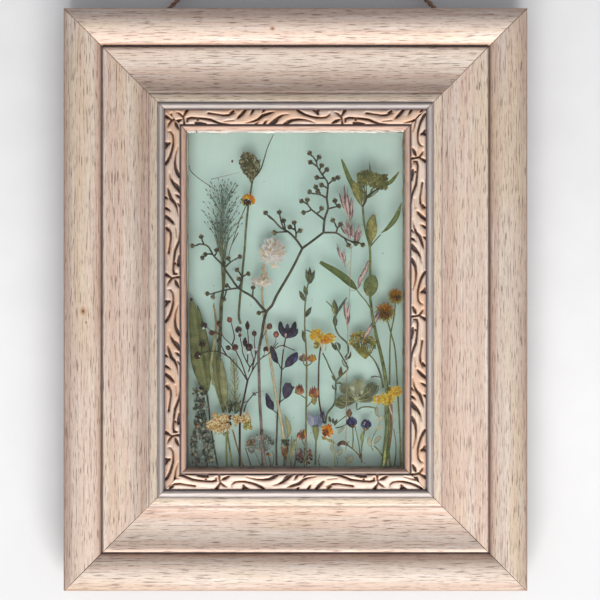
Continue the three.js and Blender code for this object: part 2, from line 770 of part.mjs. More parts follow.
const plants = [
  ['button_flower', buttonFlower, ORANGE],
  ['plume_grass', plumeGrass, SAGE],
  ['spray_stem', sprayStem, DARK_STEM],
  ['spray_left_limb', sprayLeftLimb, DARK_STEM],
  ['spray_right_limb', sprayRightLimb, DARK_STEM],
  ['spray_low_limb', sprayLowLimb, DARK_STEM],
  ['bunny_tail', bunnyTail, STRAW],
  ['larkspur', larkspur, VIOLET],
  ['berry_stem', berryStem, BERRY],
  ['berry_left_limb', berryLeftLimb, BERRY],
  ['berry_right_limb', berryRightLimb, BERRY],
  ['broad_leaf', broadLeaf, OLIVE],
  ['blade_leaf', bladeLeaf, SAGE],
  ['narrow_leaf', narrowLeaf, OLIVE],
  ['cypress_sprig', cypressSprig, GREEN],
  ['yarrow_left', yarrowLeft, YELLOW],
  ['yarrow_right', yarrowRight, YELLOW],
  ['grey_umbel', greyUmbel, SAGE],
  ['thistle_bud', thistleBud, BROWN],
  ['seed_cluster', seedCluster, BROWN],
  ['heath_stem', heathStem, GREEN],
  ['marigold', marigold, YELLOW],
  ['curly_branch', curlyBranch, GREEN],
  ['oat_grass', oatGrass, STRAW],
  ['herb_stem', herbStem, GREEN],
  ['herb_top', herbTop, GREEN],
  ['herb_side_leaf', herbSideLeaf, OLIVE],
  ['herb_low_leaf', herbLowLeaf, OLIVE],
  ['fuzzy_head_upper', fuzzyHeadUpper, ORANGE],
  ['fuzzy_head_lower', fuzzyHeadLower, ORANGE],
  ['yellow_umbel', yellowUmbel, YELLOW],
  ['strawberry_leaf', strawberryLeaf, SAGE],
  ['yellow_flower', yellowFlower, YELLOW],
  ['vetch_leaves', vetchLeaves, GREEN],
  ['violet_left', violetLeft, VIOLET],
  ['violet_right', violetRight, VIOLET],
  ['pod', pod, BROWN],
  ['orange_flower', orangeFlower, ORANGE],
  ['blue_petals', bluePetals, VIOLET],
  ['lance_leaf', lanceLeaf, GREEN],
  ['feather_sprig', featherSprig, SAGE],
  ['forked_twig', forkedTwig, BROWN],
];

// Assembly: the face group has its origin at the frame's lower left corner, its +Z towards the viewer
const frameLeft = FRAME_SHIFT - FRAME_W / 2;
const frameBottom = FRAME_TOP - FRAME_H;
const eyeDrop = FRAME_TOP - EYE_Z;
const leftInset = -EYE_X - frameLeft;
const rightInset = frameLeft + FRAME_W - EYE_X;

const face = new THREE.Group();
face.rotation.x = Math.PI / 2;
face.position.set(frameLeft, BACK_Y, frameBottom);

function placeRail(name, geometry, turn, x, y) {
  const made = mesh(name, geometry, WOOD);
  made.rotation.z = turn;
  made.position.set(x, y, 0);
  face.add(made);
}

placeRail('rail_bottom', rail(FRAME_W), 0, 0, 0);
placeRail('rail_top', rail(FRAME_W), Math.PI, FRAME_W, FRAME_H);
placeRail('rail_right', cut(rail(FRAME_H), [pilotHole(FRAME_H - eyeDrop, rightInset)]), Math.PI / 2, FRAME_W, 0);
placeRail('rail_left', cut(rail(FRAME_H), [pilotHole(eyeDrop, leftInset)]), -Math.PI / 2, 0, FRAME_H);

const boardW = SIGHT_W + 2 * (REBATE_W - GAP);
const boardH = SIGHT_H + 2 * (REBATE_W - GAP);
const board = mesh('backing_board', block(boardW, boardH, BOARD_BACK, BOARD_T), MINT);
board.position.set(RAIL_W - REBATE_W + GAP, RAIL_W - REBATE_W + GAP, 0);
face.add(board);

function placePoint(name, turn, x, y) {
  const made = mesh(name, framersPoint(), STEEL);
  made.rotation.z = turn;
  made.position.set(x, y, 0);
  face.add(made);
}

const pointInset = RAIL_W - REBATE_W + GAP;
placePoint('point_bottom', 0, FRAME_W / 2, pointInset);
placePoint('point_right', Math.PI / 2, FRAME_W - pointInset, FRAME_H / 2);
placePoint('point_top', Math.PI, FRAME_W / 2, FRAME_H - pointInset);
placePoint('point_left', -Math.PI / 2, pointInset, FRAME_H / 2);

const sight = new THREE.Group();
sight.position.set(RAIL_W, RAIL_W, 0);
sight.add(mesh('resin_back', castingBack(), RESIN));
sight.add(mesh('resin_front', castingFront(), RESIN));
for (const [name, build, finish] of plants) sight.add(mesh(name, build(), finish));
face.add(sight);

const frame = new THREE.Group();
frame.add(face);

const pull = Math.atan2(-EYE_Z, EYE_X);
for (const [name, side] of [['left', -1], ['right', 1]]) {
  const eye = mesh(`eye_${name}`, screwEye(side < 0 ? pull : Math.PI - pull), STEEL);
  eye.position.set(side * EYE_X, 0, EYE_Z);
  frame.add(eye);
  const lump = mesh(`knot_${name}`, knot(side), TWINE);
  const reach = 2 * KNOT_R + 0.6;
  lump.position.set(side * (EYE_X + reach * Math.cos(pull)), 0, EYE_Z - reach * Math.sin(pull));
  frame.add(lump);
}
frame.add(mesh('twine', twine(), TWINE));

export default frame;
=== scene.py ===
"""Pressed flower frame: carved limed-wood moulding, mint board, clear casting with dried plants, twine."""
import bpy
import bmesh
import math
import random
from functools import partial
import numpy as np
from mathutils import Matrix, Vector, noise


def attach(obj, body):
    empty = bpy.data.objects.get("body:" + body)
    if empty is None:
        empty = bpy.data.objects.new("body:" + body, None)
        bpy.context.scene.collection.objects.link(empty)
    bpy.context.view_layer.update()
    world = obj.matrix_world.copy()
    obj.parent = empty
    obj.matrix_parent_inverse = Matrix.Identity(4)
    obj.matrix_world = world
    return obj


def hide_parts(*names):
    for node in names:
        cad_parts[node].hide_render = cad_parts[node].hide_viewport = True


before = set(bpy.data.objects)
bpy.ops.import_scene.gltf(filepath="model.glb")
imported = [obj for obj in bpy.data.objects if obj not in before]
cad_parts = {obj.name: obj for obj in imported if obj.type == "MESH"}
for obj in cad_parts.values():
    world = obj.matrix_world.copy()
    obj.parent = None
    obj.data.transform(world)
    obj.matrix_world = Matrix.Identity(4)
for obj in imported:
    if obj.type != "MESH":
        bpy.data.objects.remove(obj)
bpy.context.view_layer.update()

# Sizes in millimetres, as in the part
MM = 0.001
FRAME_W, FRAME_H, RAIL_W = 194.8, 244.8, 51.4
FRAME_TOP, FRAME_SHIFT, BACK_Y = -58.0, -2.7, -4.0
FRAME_LEFT = FRAME_SHIFT - FRAME_W / 2
FRAME_BOTTOM = FRAME_TOP - FRAME_H
SIGHT_W, SIGHT_H = FRAME_W - 2 * RAIL_W, FRAME_H - 2 * RAIL_W
REBATE_W, REBATE_H = 5.0, 6.0
CAST_FRONT = 14.3
DEPTH = [7.9, 8.9, 9.9, 10.9, 11.9, 12.9]


def place(x, y, h):
    """A spot in millimetres from the lower left corner and back, in the row frame in metres."""
    return Vector(((FRAME_LEFT + x) * MM, (BACK_Y - h) * MM, (FRAME_BOTTOM + y) * MM))


def planted(u, v, h):
    """Coordinates in the opening, from its lower left corner, to the row frame."""
    return place(RAIL_W + u, RAIL_W + v, h)


rng = random.Random(11)
draw = rng.uniform
noise.seed_set(11)

# Fixing: twine from eye to eye over a nail at the origin
EYE_X, EYE_Z, RING_R, WIRE_R, SHANK = 83.7, -86.0, 2.8, 0.6, 7.0
NAIL_R, TWINE_R, BEND_R, KNOT_R = 1.25, 1.0, 5.0, 2.7
PULL = math.atan2(-EYE_Z, EYE_X)


# Colours and nodes
def srgb(value):
    """Linear colour from an sRGB hex value."""
    parts = [((value >> shift) & 255) / 255 for shift in (16, 8, 0)]
    return tuple(p / 12.92 if p <= 0.04045 else ((p + 0.055) / 1.055) ** 2.4 for p in parts) + (1.0,)


def add(tree, kind, settings=None, **sockets):
    """Adds a node: settings are its properties, sockets its inputs by name, as values or linked outputs."""
    made = tree.nodes.new(kind)
    for key, value in (settings or {}).items():
        setattr(made, key, value)
    for key, value in sockets.items():
        name = key.replace("_", " ")
        found = made.inputs[int(name[1:])] if name[0] == "i" and name[1:].isdigit() else made.inputs[name]
        if isinstance(value, bpy.types.NodeSocket):
            tree.links.new(value, found)
        else:
            found.default_value = value
    return made


def new_material(name):
    """A material with a plain shader, for its maker to fill."""
    material = bpy.data.materials.new(name)
    material.use_nodes = True
    tree = material.node_tree
    tree.nodes.clear()
    shader = add(tree, "ShaderNodeBsdfPrincipled")
    output = add(tree, "ShaderNodeOutputMaterial")
    tree.links.new(shader.outputs[0], output.inputs[0])
    return material, tree, shader, partial(result, tree)


# Nodes with a short name: kind, settings, inputs in the order they are given, output. Any other is a sum.
SHORT = {
    "MIX": ("ShaderNodeMix", {"data_type": "RGBA"}, (0, 6, 7), 2),
    "DYE": ("ShaderNodeMix", {"data_type": "RGBA", "blend_type": "MULTIPLY"}, (0, 6, 7), 2),
    "RAMP": ("ShaderNodeMapRange", {"interpolation_type": "SMOOTHSTEP"}, (0, 1, 2, 3, 4), 0),
}


def result(tree, name, *values):
    """Output of a node: MIX takes a factor and two colours, RAMP a value, its ends and what they become."""
    kind, settings, inputs, output = SHORT.get(name, ("ShaderNodeMath", {"operation": name}, (0, 1, 2), 0))
    sockets = {f"i{number}": value for number, value in zip(inputs, values)}
    return add(tree, kind, settings, **sockets).outputs[output]


def stretched(tree, vector, scale, detail=2.0, roughness=0.5, offset=(0, 0, 0)):
    """Noise on a vector in millimetres, scale given as cycles per millimetre along each axis."""
    mapping = add(tree, "ShaderNodeMapping", Vector=vector)
    mapping.inputs["Scale"].default_value = scale
    mapping.inputs["Location"].default_value = offset
    made = add(tree, "ShaderNodeTexNoise", Vector=mapping.outputs[0], Scale=1.0, Detail=detail,
        Roughness=roughness)
    return made.outputs["Fac"]


# Pieces
def piece(name, bm, material, nodes):
    """Closes a bmesh into an object at the origin that rides on the frame and stands for its solids."""
    mesh = bpy.data.meshes.new(name)
    bm.to_mesh(mesh)
    bm.free()
    mesh.materials.append(material)
    mesh.polygons.foreach_set("use_smooth", [True] * len(mesh.polygons))
    made = bpy.data.objects.new(name, mesh)
    bpy.context.collection.objects.link(made)
    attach(made, "root")
    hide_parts(*nodes)
    return made


# Camera, light and stage
def camera():
    """A long lens straight in front, as the photograph was taken."""
    data = bpy.data.cameras.new("camera")
    made = bpy.data.objects.new("camera", data)
    bpy.context.collection.objects.link(made)
    distance = 1.25
    view_w = 0.2518
    data.lens = 36 * distance / view_w
    data.clip_start = 0.01
    face_y = (BACK_Y - 15) * MM
    made.location = (-0.0008, face_y - distance, (FRAME_TOP - FRAME_H / 2 - 0.2) * MM)
    made.rotation_euler = (math.pi / 2, 0, 0)
    bpy.context.scene.camera = made


def studio():
    """A soft lamp low in front and a little to the right, and a weak even light all round."""
    world = bpy.data.worlds.new("studio")
    bpy.context.scene.world = world
    world.use_nodes = True
    tree = world.node_tree
    tree.nodes.clear()
    background = add(tree, "ShaderNodeBackground", Color=srgb(0xFBFCFF), Strength=0.48)
    output = add(tree, "ShaderNodeOutputWorld")
    tree.links.new(background.outputs[0], output.inputs[0])
    bpy.context.scene.view_settings.view_transform = "Standard"
    softbox(Vector((0.06, -0.58, -0.8)).normalized())


def softbox(toward):
    """White diffuser, 0.8 m square, lit evenly, that the camera doesn't see."""
    material = bpy.data.materials.new("lit_diffuser")
    material.use_nodes = True
    tree = material.node_tree
    tree.nodes.clear()
    glow = add(tree, "ShaderNodeEmission", Color=srgb(0xFFFBF5), Strength=13.3)
    output = add(tree, "ShaderNodeOutputMaterial")
    tree.links.new(glow.outputs[0], output.inputs[0])
    bm = bmesh.new()
    bmesh.ops.create_grid(bm, x_segments=1, y_segments=1, size=0.4)
    bmesh.ops.rotate(bm, verts=bm.verts, matrix=toward.to_track_quat("Z", "Y").to_matrix())
    bmesh.ops.translate(bm, verts=bm.verts, vec=place(FRAME_W / 2, FRAME_H / 2, 15) + toward * 1.15)
    mesh = bpy.data.meshes.new("softbox")
    bm.to_mesh(mesh)
    bm.free()
    mesh.materials.append(material)
    card = bpy.data.objects.new("softbox", mesh)
    card.visible_camera = False
    bpy.context.collection.objects.link(card)


def stage():
    """Pale floor, and the pale wall that the frame hangs on, with painted shade towards its foot, which is
    clear from behind.
    """
    wall_material, tree, shader, do = new_material("painted_plaster")
    grain = add(tree, "ShaderNodeTexCoord").outputs["Object"]
    mottle = stretched(tree, grain, (60, 60, 60), 4.0)
    paint = do("MIX", mottle, srgb(0xCCCED2), srgb(0xD5D7DB))
    # Painted shade: the wall darker towards the bottom, where the low lamp lights it most
    low = do("RAMP", add(tree, "ShaderNodeSeparateXYZ", i0=grain).outputs[2], -0.2, -0.34, 0, 0.75)
    tree.links.new(do("MIX", low, paint, srgb(0xBBBDC1)), shader.inputs["Base Color"])
    shader.inputs["Roughness"].default_value = 0.9
    back = add(tree, "ShaderNodeNewGeometry").outputs["Backfacing"]
    clear = add(tree, "ShaderNodeBsdfTransparent")
    both = add(tree, "ShaderNodeMixShader", i0=back, i1=shader.outputs[0], i2=clear.outputs[0])
    tree.links.new(both.outputs[0], tree.nodes["Material Output"].inputs[0])
    floor_material, tree, shader, do = new_material("painted_floor")
    shader.inputs["Base Color"].default_value = srgb(0xE8E6E2)
    shader.inputs["Roughness"].default_value = 0.8
    for name, material, size, spot, tilt in (
        ("wall", wall_material, 1.6, (0, 0.0045, -0.18), math.pi / 2),
        ("floor", floor_material, 0.8, (0, -0.25, -1.6), 0.0),
    ):
        bm = bmesh.new()
        bmesh.ops.create_grid(bm, x_segments=1, y_segments=1, size=size / 2)
        bmesh.ops.rotate(bm, verts=bm.verts, matrix=Matrix.Rotation(tilt, 3, "X"))
        bmesh.ops.translate(bm, verts=bm.verts, vec=spot)
        mesh = bpy.data.meshes.new(name)
        bm.to_mesh(mesh)
        bm.free()
        mesh.materials.append(material)
        made = bpy.data.objects.new(name, mesh)
        bpy.context.collection.objects.link(made)


# Limed oak moulding
# Mark of a rail in its grain, and the painted light and shade on its edge, outer slope, cove slope, cove
# foot, carved band and lip: each rail's faces made lighter or darker by how the low lamp falls on them
RAIL_SHADING = (
    (11, 0.74, 0.93, 1.2, 1.02, 1.36, 0.74),
    (22, 0.94, 0.94, 1.08, 1.0, 1.06, 1.0),
    (33, 1.3, 1.3, 0.8, 0.76, 1.12, 0.96),
    (44, 1.0, 1.0, 0.98, 0.83, 0.92, 0.95),
)


def limed_oak():
    """Open-grained oak rubbed with lime wax: pale cream, fine brown pores in it, dark wax in the cuts, a
    painted highlight along the bead and painted light and shade that differs from rail to rail.
    """
    material, tree, shader, do = new_material("limed_oak")
    grain = add(tree, "ShaderNodeAttribute", {"attribute_name": "grain"}).outputs["Vector"]
    across = add(tree, "ShaderNodeSeparateXYZ", i0=grain).outputs[1]
    which = add(tree, "ShaderNodeSeparateXYZ", i0=grain).outputs[2]
    cuts = add(tree, "ShaderNodeAttribute", {"attribute_name": "cuts"}).outputs["Fac"]
    haze = add(tree, "ShaderNodeAttribute", {"attribute_name": "haze"}).outputs["Fac"]
    bare = add(tree, "ShaderNodeAttribute", {"attribute_name": "bare"}).outputs["Fac"]

    def strip(a, b, c, d):
        return do("MULTIPLY", do("RAMP", across, a, b), do("RAMP", across, d, c))

    bands = stretched(tree, grain, (0.004, 0.16, 1), 3.0)
    colour = do("MIX", do("RAMP", bands, 0.36, 0.64), srgb(0xEBDCCD), srgb(0xE2C9B8))
    warm = stretched(tree, grain, (0.008, 0.06, 1), 2.0, offset=(40, 7, 3))
    colour = do("MIX", do("RAMP", warm, 0.5, 0.7, 0, 0.5), colour, srgb(0xE8D1AC))
    uneven = do("RAMP", stretched(tree, grain, (0.01, 0.5, 1), 3.0, offset=(2, 3, 5)), 0.3, 0.7, 0.4, 1.0)
    pink = do("MAXIMUM", strip(12.2, 14.4, 15.3, 15.9), strip(28.5, 33.5, 35.9, 36.6))
    pink = do("MAXIMUM", pink, do("RAMP", across, 5.0, 0.6, 0, 0.8))
    colour = do("MIX", do("MULTIPLY", do("MULTIPLY", pink, uneven), 0.62), colour, srgb(0xCBA894))
    colour = do("MIX", do("MULTIPLY", strip(36.4, 36.9, 39.0, 39.4), 0.45), colour, srgb(0xF0DEC0))
    lime = stretched(tree, grain, (0.02, 0.6, 1), 4.0, 0.6, offset=(11, 3, 9))
    colour = do("MIX", do("RAMP", lime, 0.5, 0.72, 0, 0.6), colour, srgb(0xF5EEE6))
    streak = stretched(tree, grain, (0.03, 1.5, 1), 5.0, 0.62, offset=(5, 90, 1))
    streaks = do("RAMP", streak, 0.47, 0.3, 0, 0.6)
    colour = do("MIX", streaks, colour, srgb(0xB18F7C))
    fibre = stretched(tree, grain, (0.09, 2.6, 1), 3.0, 0.6)
    colour = do("MIX", do("RAMP", fibre, 0.46, 0.28, 0, 0.55), colour, srgb(0x9C7C66))
    pore = stretched(tree, grain, (0.14, 2.3, 1), 1.5, 0.5, offset=(3, 50, 20))
    dense = do("RAMP", streak, 0.6, 0.4, 0.0, 0.06)
    pores = do("RAMP", do("ADD", pore, dense), 0.61, 0.7)
    colour = do("MIX", do("MULTIPLY", pores, 0.66), colour, srgb(0x6A4C42))
    fine = do("RAMP", stretched(tree, grain, (0.3, 4.2, 1), 2.0, 0.6, offset=(7, 20, 2)), 0.56, 0.7, 0, 0.55)
    colour = do("MIX", fine, colour, srgb(0x86695C))
    edge = do("RAMP", across, 0.9, 0.4, 0, 0.6)
    colour = do("MIX", edge, colour, srgb(0xB98A66))

    greyed = stretched(tree, grain, (0.05, 0.9, 1), 4.0, 0.6, offset=(2, 8, 4))
    bead = do("MULTIPLY", strip(39.4, 39.8, 42.3, 42.6), do("RAMP", greyed, 0.3, 0.6, 0.6, 1.0))
    colour = do("MIX", bead, colour, srgb(0xA39E9F))
    # Painted highlight: a paler broken line along the crest of the bead
    crest_highlight = do("MULTIPLY", strip(40.2, 40.8, 41.2, 41.8), do("RAMP", greyed, 0.4, 0.6, 0.2, 0.75))
    colour = do("MIX", crest_highlight, colour, srgb(0xDCD2C8))
    colour = do("MIX", do("MULTIPLY", do("RAMP", across, 49.3, 49.9), 0.6), colour, srgb(0xCFA088))

    # Wax lines left in the quirks, each a soft dark line with a brown shoulder
    shoulder = do("MULTIPLY", strip(14.6, 15.5, 15.7, 16.0), 0.45)
    colour = do("MIX", shoulder, colour, srgb(0xB5835C))
    for a, b, c, d, amount in (
        (15.5, 16.0, 16.4, 16.9, 0.82), (35.5, 35.75, 35.9, 36.15, 0.3), (39.2, 39.45, 39.6, 39.9, 0.6),
        (42.1, 42.4, 42.65, 42.95, 0.92), (48.5, 48.85, 49.35, 49.7, 0.86),
    ):
        colour = do("MIX", do("MULTIPLY", strip(a, b, c, d), amount), colour, srgb(0x4C3E4A))
    for x, y, radius in ((1395.3, 8.65, 0.75), (1058.0, 9.2, 0.5), (1400.0, 9.9, 0.3)):
        off = add(tree, "ShaderNodeVectorMath", {"operation": "SUBTRACT"}, i0=grain, i1=(x, y, 0)).outputs[0]
        flat = add(tree, "ShaderNodeVectorMath", {"operation": "MULTIPLY"}, i0=off, i1=(0.7, 1, 0)).outputs[0]
        far = add(tree, "ShaderNodeVectorMath", {"operation": "LENGTH"}, i0=flat).outputs["Value"]
        colour = do("MIX", do("RAMP", far, radius * 2.4, radius, 0, 0.6), colour, srgb(0xC08253))
        colour = do("MIX", do("RAMP", far, radius, radius * 0.4, 0, 0.8), colour, srgb(0x54382C))

    tan = do("RAMP", stretched(tree, grain, (0.05, 0.14, 1), 2.0, offset=(6, 2, 8)), 0.4, 0.58, 0.15, 0.8)
    tan = do("MULTIPLY", tan, do("RAMP", which, 12, 20, 0.3, 1))
    colour = do("MIX", do("MULTIPLY", tan, strip(42.6, 42.9, 48.5, 48.8)), colour, srgb(0xE0AB80))
    ragged = stretched(tree, grain, (0.6, 1.6, 1), 4.0, 0.65, offset=(9, 1, 6))
    stain = do("MULTIPLY", haze, do("RAMP", ragged, 0.3, 0.65, 0.35, 1.0))
    colour = do("MIX", do("MULTIPLY", stain, 0.62), colour, srgb(0xC0926F))
    wax = do("MULTIPLY", cuts, do("RAMP", ragged, 0.25, 0.6, 0.7, 1.12))
    colour = do("MIX", do("RAMP", wax, 0.24, 0.8), colour, srgb(0x8A6048))
    colour = do("MIX", do("RAMP", wax, 0.62, 1.14), colour, srgb(0x37302F))
    cream = do("RAMP", do("SUBTRACT", across, cuts), 42.9, 43.6, 0, 0.3)
    cream = do("MULTIPLY", cream, do("RAMP", wax, 0.3, 0.1))
    colour = do("MIX", do("MULTIPLY", cream, strip(42.6, 42.9, 48.5, 48.8)), colour, srgb(0xF8EADC))
    raw = do("MIX", streaks, srgb(0xC79F74), srgb(0x94693F))
    colour = do("MIX", bare, colour, raw)
    # Painted light and shade: each rail's faces lighter or darker by how the lamp falls on that rail
    tones = 0.0
    for mark, edge, outer, slope, foot, band, lip in RAIL_SHADING:
        steps = 0.0
        for low, high, before, after in (
            (4, 10, edge, outer),
            (15, 18, 0, slope - outer),
            (26, 31, 0, foot - slope),
            (39, 40, 0, band - foot),
            (48.8, 49.2, 0, lip - band),
        ):
            steps = do("ADD", do("RAMP", across, low, high, before, after), steps)
        chosen = do("COMPARE", which, mark, 2.0)
        tones = do("MULTIPLY_ADD", chosen, steps, tones)
    colour = do("DYE", 1.0, colour, tones)
    # The film of wax takes a part of the light
    colour = do("DYE", 1.0, colour, (0.635, 0.63, 0.645, 1))
    tree.links.new(colour, shader.inputs["Base Color"])

    rough = do("RAMP", pore, 0.3, 0.7, 0.5, 0.68)
    tree.links.new(rough, shader.inputs["Roughness"])
    height = do("ADD", do("MULTIPLY", pores, -0.8), do("MULTIPLY", fibre, 0.5))
    bump = add(tree, "ShaderNodeBump", Height=height, Strength=0.5, Distance=0.00012)
    tree.links.new(bump.outputs[0], shader.inputs["Normal"])
    return material


# Section of the moulding: distance from the outer edge, height above the back
SIDE_H = 13.6
FACE = [(0, SIDE_H), (0.25, 14.5), (0.8, 15.6), (1.6, 16.7), (2.8, 18.0), (4.4, 19.05), (6.2, 19.8),
    (8.2, 20.2), (10.2, 20.15), (12.0, 19.75), (13.6, 19.05), (14.9, 18.3), (15.6, 17.8), (15.9, 17.3),
    (16.15, 16.9), (16.4, 16.9), (16.65, 17.6), (16.95, 18.6), (17.4, 18.85), (18.4, 18.45), (20.0, 17.65),
    (22.0, 16.75), (24.2, 15.85), (26.5, 15.15), (28.8, 14.8), (31.0, 14.8), (33.0, 15.15), (34.6, 15.65),
    (35.5, 16.0), (35.7, 15.85), (35.9, 16.1), (36.8, 16.35), (38.2, 16.5), (39.2, 16.45), (39.55, 16.05),
    (39.85, 16.2), (40.2, 16.75), (40.7, 17.1), (41.2, 17.1), (41.7, 16.8), (42.05, 16.25), (42.2, 15.5),
    (42.4, 15.1), (42.6, 15.5),]
BAND_START, BAND_END, BAND_FOOT, BAND_CROWN, BAND_LEAN, BAND_COLUMNS = 42.7, 48.8, 15.2, 0.3, 0.6, 28
LIP = [
    (48.95, 15.3), (49.15, 15.0), (49.35, 15.4), (49.6, 15.9), (49.95, 16.0), (50.4, 15.8), (50.85, 15.45),
    (51.2, 15.05), (51.4, 14.6),
]
REST = [(RAIL_W, 12.5), (RAIL_W, 9.5), (RAIL_W, REBATE_H), (RAIL_W - REBATE_W, REBATE_H),
    (RAIL_W - REBATE_W, 3.0), (RAIL_W - REBATE_W, 0.0), (36.0, 0.0), (24.0, 0.0), (12.0, 0.0), (0.0, 0.0),
    (0.0, 3.5), (0.0, 7.0), (0.0, 10.5), (0, SIDE_H)]
MITRE_GAP = 0.05

# One period of the carved scroll: a boss, and cuts as centre lines of (along, across, half width)
BOSS = (62.6, 5.0, 1.9, 1.0)
PERIOD = 66.3
CUTS = [[(-1.6, 0.2, 0.55), (-0.75, 1.8, 0.22), (0, 2.8, 0.24), (-0.4, 4.4, 0.22), (-0.55, 6.0, 0.28)],
    [(0, 2.8, 0.24), (1.6, 1.6, 0.22), (2.6, 1.1, 0.1)], [(0.5, 4.1, 0.15), (2.1, 4.8, 0.5),
    (3.8, 5.7, 0.15)], [(4.7, 1.3, 0.08), (4.9, 2.3, 0.18), (6.2, 3.2, 0.2), (8, 3.45, 0.2),
    (10.5, 3.35, 0.25), (12.9, 2.8, 0.26), (15.3, 2.0, 0.32), (17.2, 0.95, 0.42), (18.2, 0.2, 0.3)],
    [(9.6, 0.1, 0.4), (10.0, 1.0, 0.5), (9.6, 2.0, 0.2)], [(10.2, 0.9, 0.4), (11.7, 0.2, 0.15)],
    [(11, 5.5, 0.06), (12.9, 4.8, 0.14), (15, 4.3, 0.18), (17.7, 4.1, 0.25), (20.4, 4.4, 0.38),
    (22.2, 5.2, 0.58), (23.6, 6.1, 0.5)], [(22.3, 1.9, 0.08), (24.4, 2.3, 0.18), (26.3, 3.35, 0.38),
    (27.6, 4.7, 0.78), (29.5, 6.3, 0.7)], [(28.2, 1.0, 0.12), (30.5, 1.7, 0.36), (32.9, 2.5, 0.5),
    (34.8, 4.1, 0.34), (36.4, 4.8, 0.22), (40, 5.6, 0.08)], [(31.1, 4.4, 0.12), (31.8, 5.3, 0.3),
    (32.4, 6.2, 0.25)], [(34.8, 5.2, 0.15), (35.9, 6.2, 0.25)], [(32.3, 0.0, 0.35), (32.9, 1.0, 0.15)],
    [(36.8, 0.1, 0.35), (37.4, 1.2, 0.26), (38.0, 2.2, 0.1)], [(40.2, 0.1, 0.45), (41.4, 1.7, 0.52),
    (42.7, 3.0, 0.36), (43.6, 3.8, 0.1)], [(45, 4.4, 0.08), (48.9, 4.9, 0.09)],
    [(45.2, 0.6, 0.35), (46.2, 1.4, 0.35)], [(44.6, 1.4, 0.12), (47.2, 2.3, 0.26), (49.3, 2.45, 0.22),
    (52.2, 2.0, 0.2), (55.6, 1.5, 0.24)], [(47, 6.3, 0.2), (50.4, 5.9, 0.26), (52.8, 5.0, 0.32),
    (54.7, 4.2, 0.32), (56.8, 3.9, 0.26), (59.5, 3.6, 0.24), (62.7, 3.4, 0.24), (64.4, 3.8, 0.3),
    (64.5, 5.0, 0.2)], [(56.8, 6.1, 0.3), (59.2, 5.8, 0.62), (60.8, 5.6, 0.45)],
    [(59.6, 4.2, 0.1), (60.1, 4.3, 0.3)],]


def carved(along, across):
    """Depth of the cuts from 0 to 1, and the distance of each point from the nearest cut."""
    along = np.mod(along + 3.0, PERIOD) - 3.0
    inside = np.zeros_like(along)
    nearest = np.full_like(along, 9.0)
    for line in CUTS:
        for (s0, w0, r0), (s1, w1, r1) in zip(line, line[1:]):
            for shift in (0.0, PERIOD, -PERIOD):
                ds, dw = s1 - s0, w1 - w0
                part = np.clip(((along - s0 - shift) * ds + (across - w0) * dw) / (ds * ds + dw * dw), 0, 1)
                far = np.hypot(along - s0 - shift - part * ds, across - w0 - part * dw)
                half = r0 + (r1 - r0) * part
                strength = np.clip(half / 0.26, 0.35, 1)
                inside = np.maximum(inside, np.clip(1 - (far - half) / 0.34, 0, 1) * strength)
                nearest = np.minimum(nearest, far - half + 0.5 * (1 - strength))
    return inside, np.maximum(nearest, 0.0)


def swelling(along, across, nearest):
    """Height of the pillow-shaped forms between the cuts, and of the round boss."""
    edge = np.minimum(across, BAND_END - BAND_START - across)
    pillow = 1 - np.exp(-np.minimum(nearest, np.maximum(edge, 0) + 0.25) / 0.55)
    along = np.mod(along + 3.0, PERIOD) - 3.0
    s, w, long, wide = BOSS
    out = np.hypot((along - s) / long, (across - w) / wide)
    return 0.62 * pillow + 0.3 * np.sqrt(np.clip(1 - out * out, 0, 1))


def section():
    """Rows of (across, height, cut or not) round the moulding, closed on itself."""
    rows = [(d, h, False) for d, h in FACE]
    for i in range(BAND_COLUMNS + 1):
        f = i / BAND_COLUMNS
        crown = 1 - (2 * f - 1) ** 4
        rows.append((BAND_START + (BAND_END - BAND_START) * f,
            BAND_FOOT + BAND_LEAN * f + BAND_CROWN * crown, True))
    rows += [(d, h, False) for d, h in LIP + REST]
    return rows


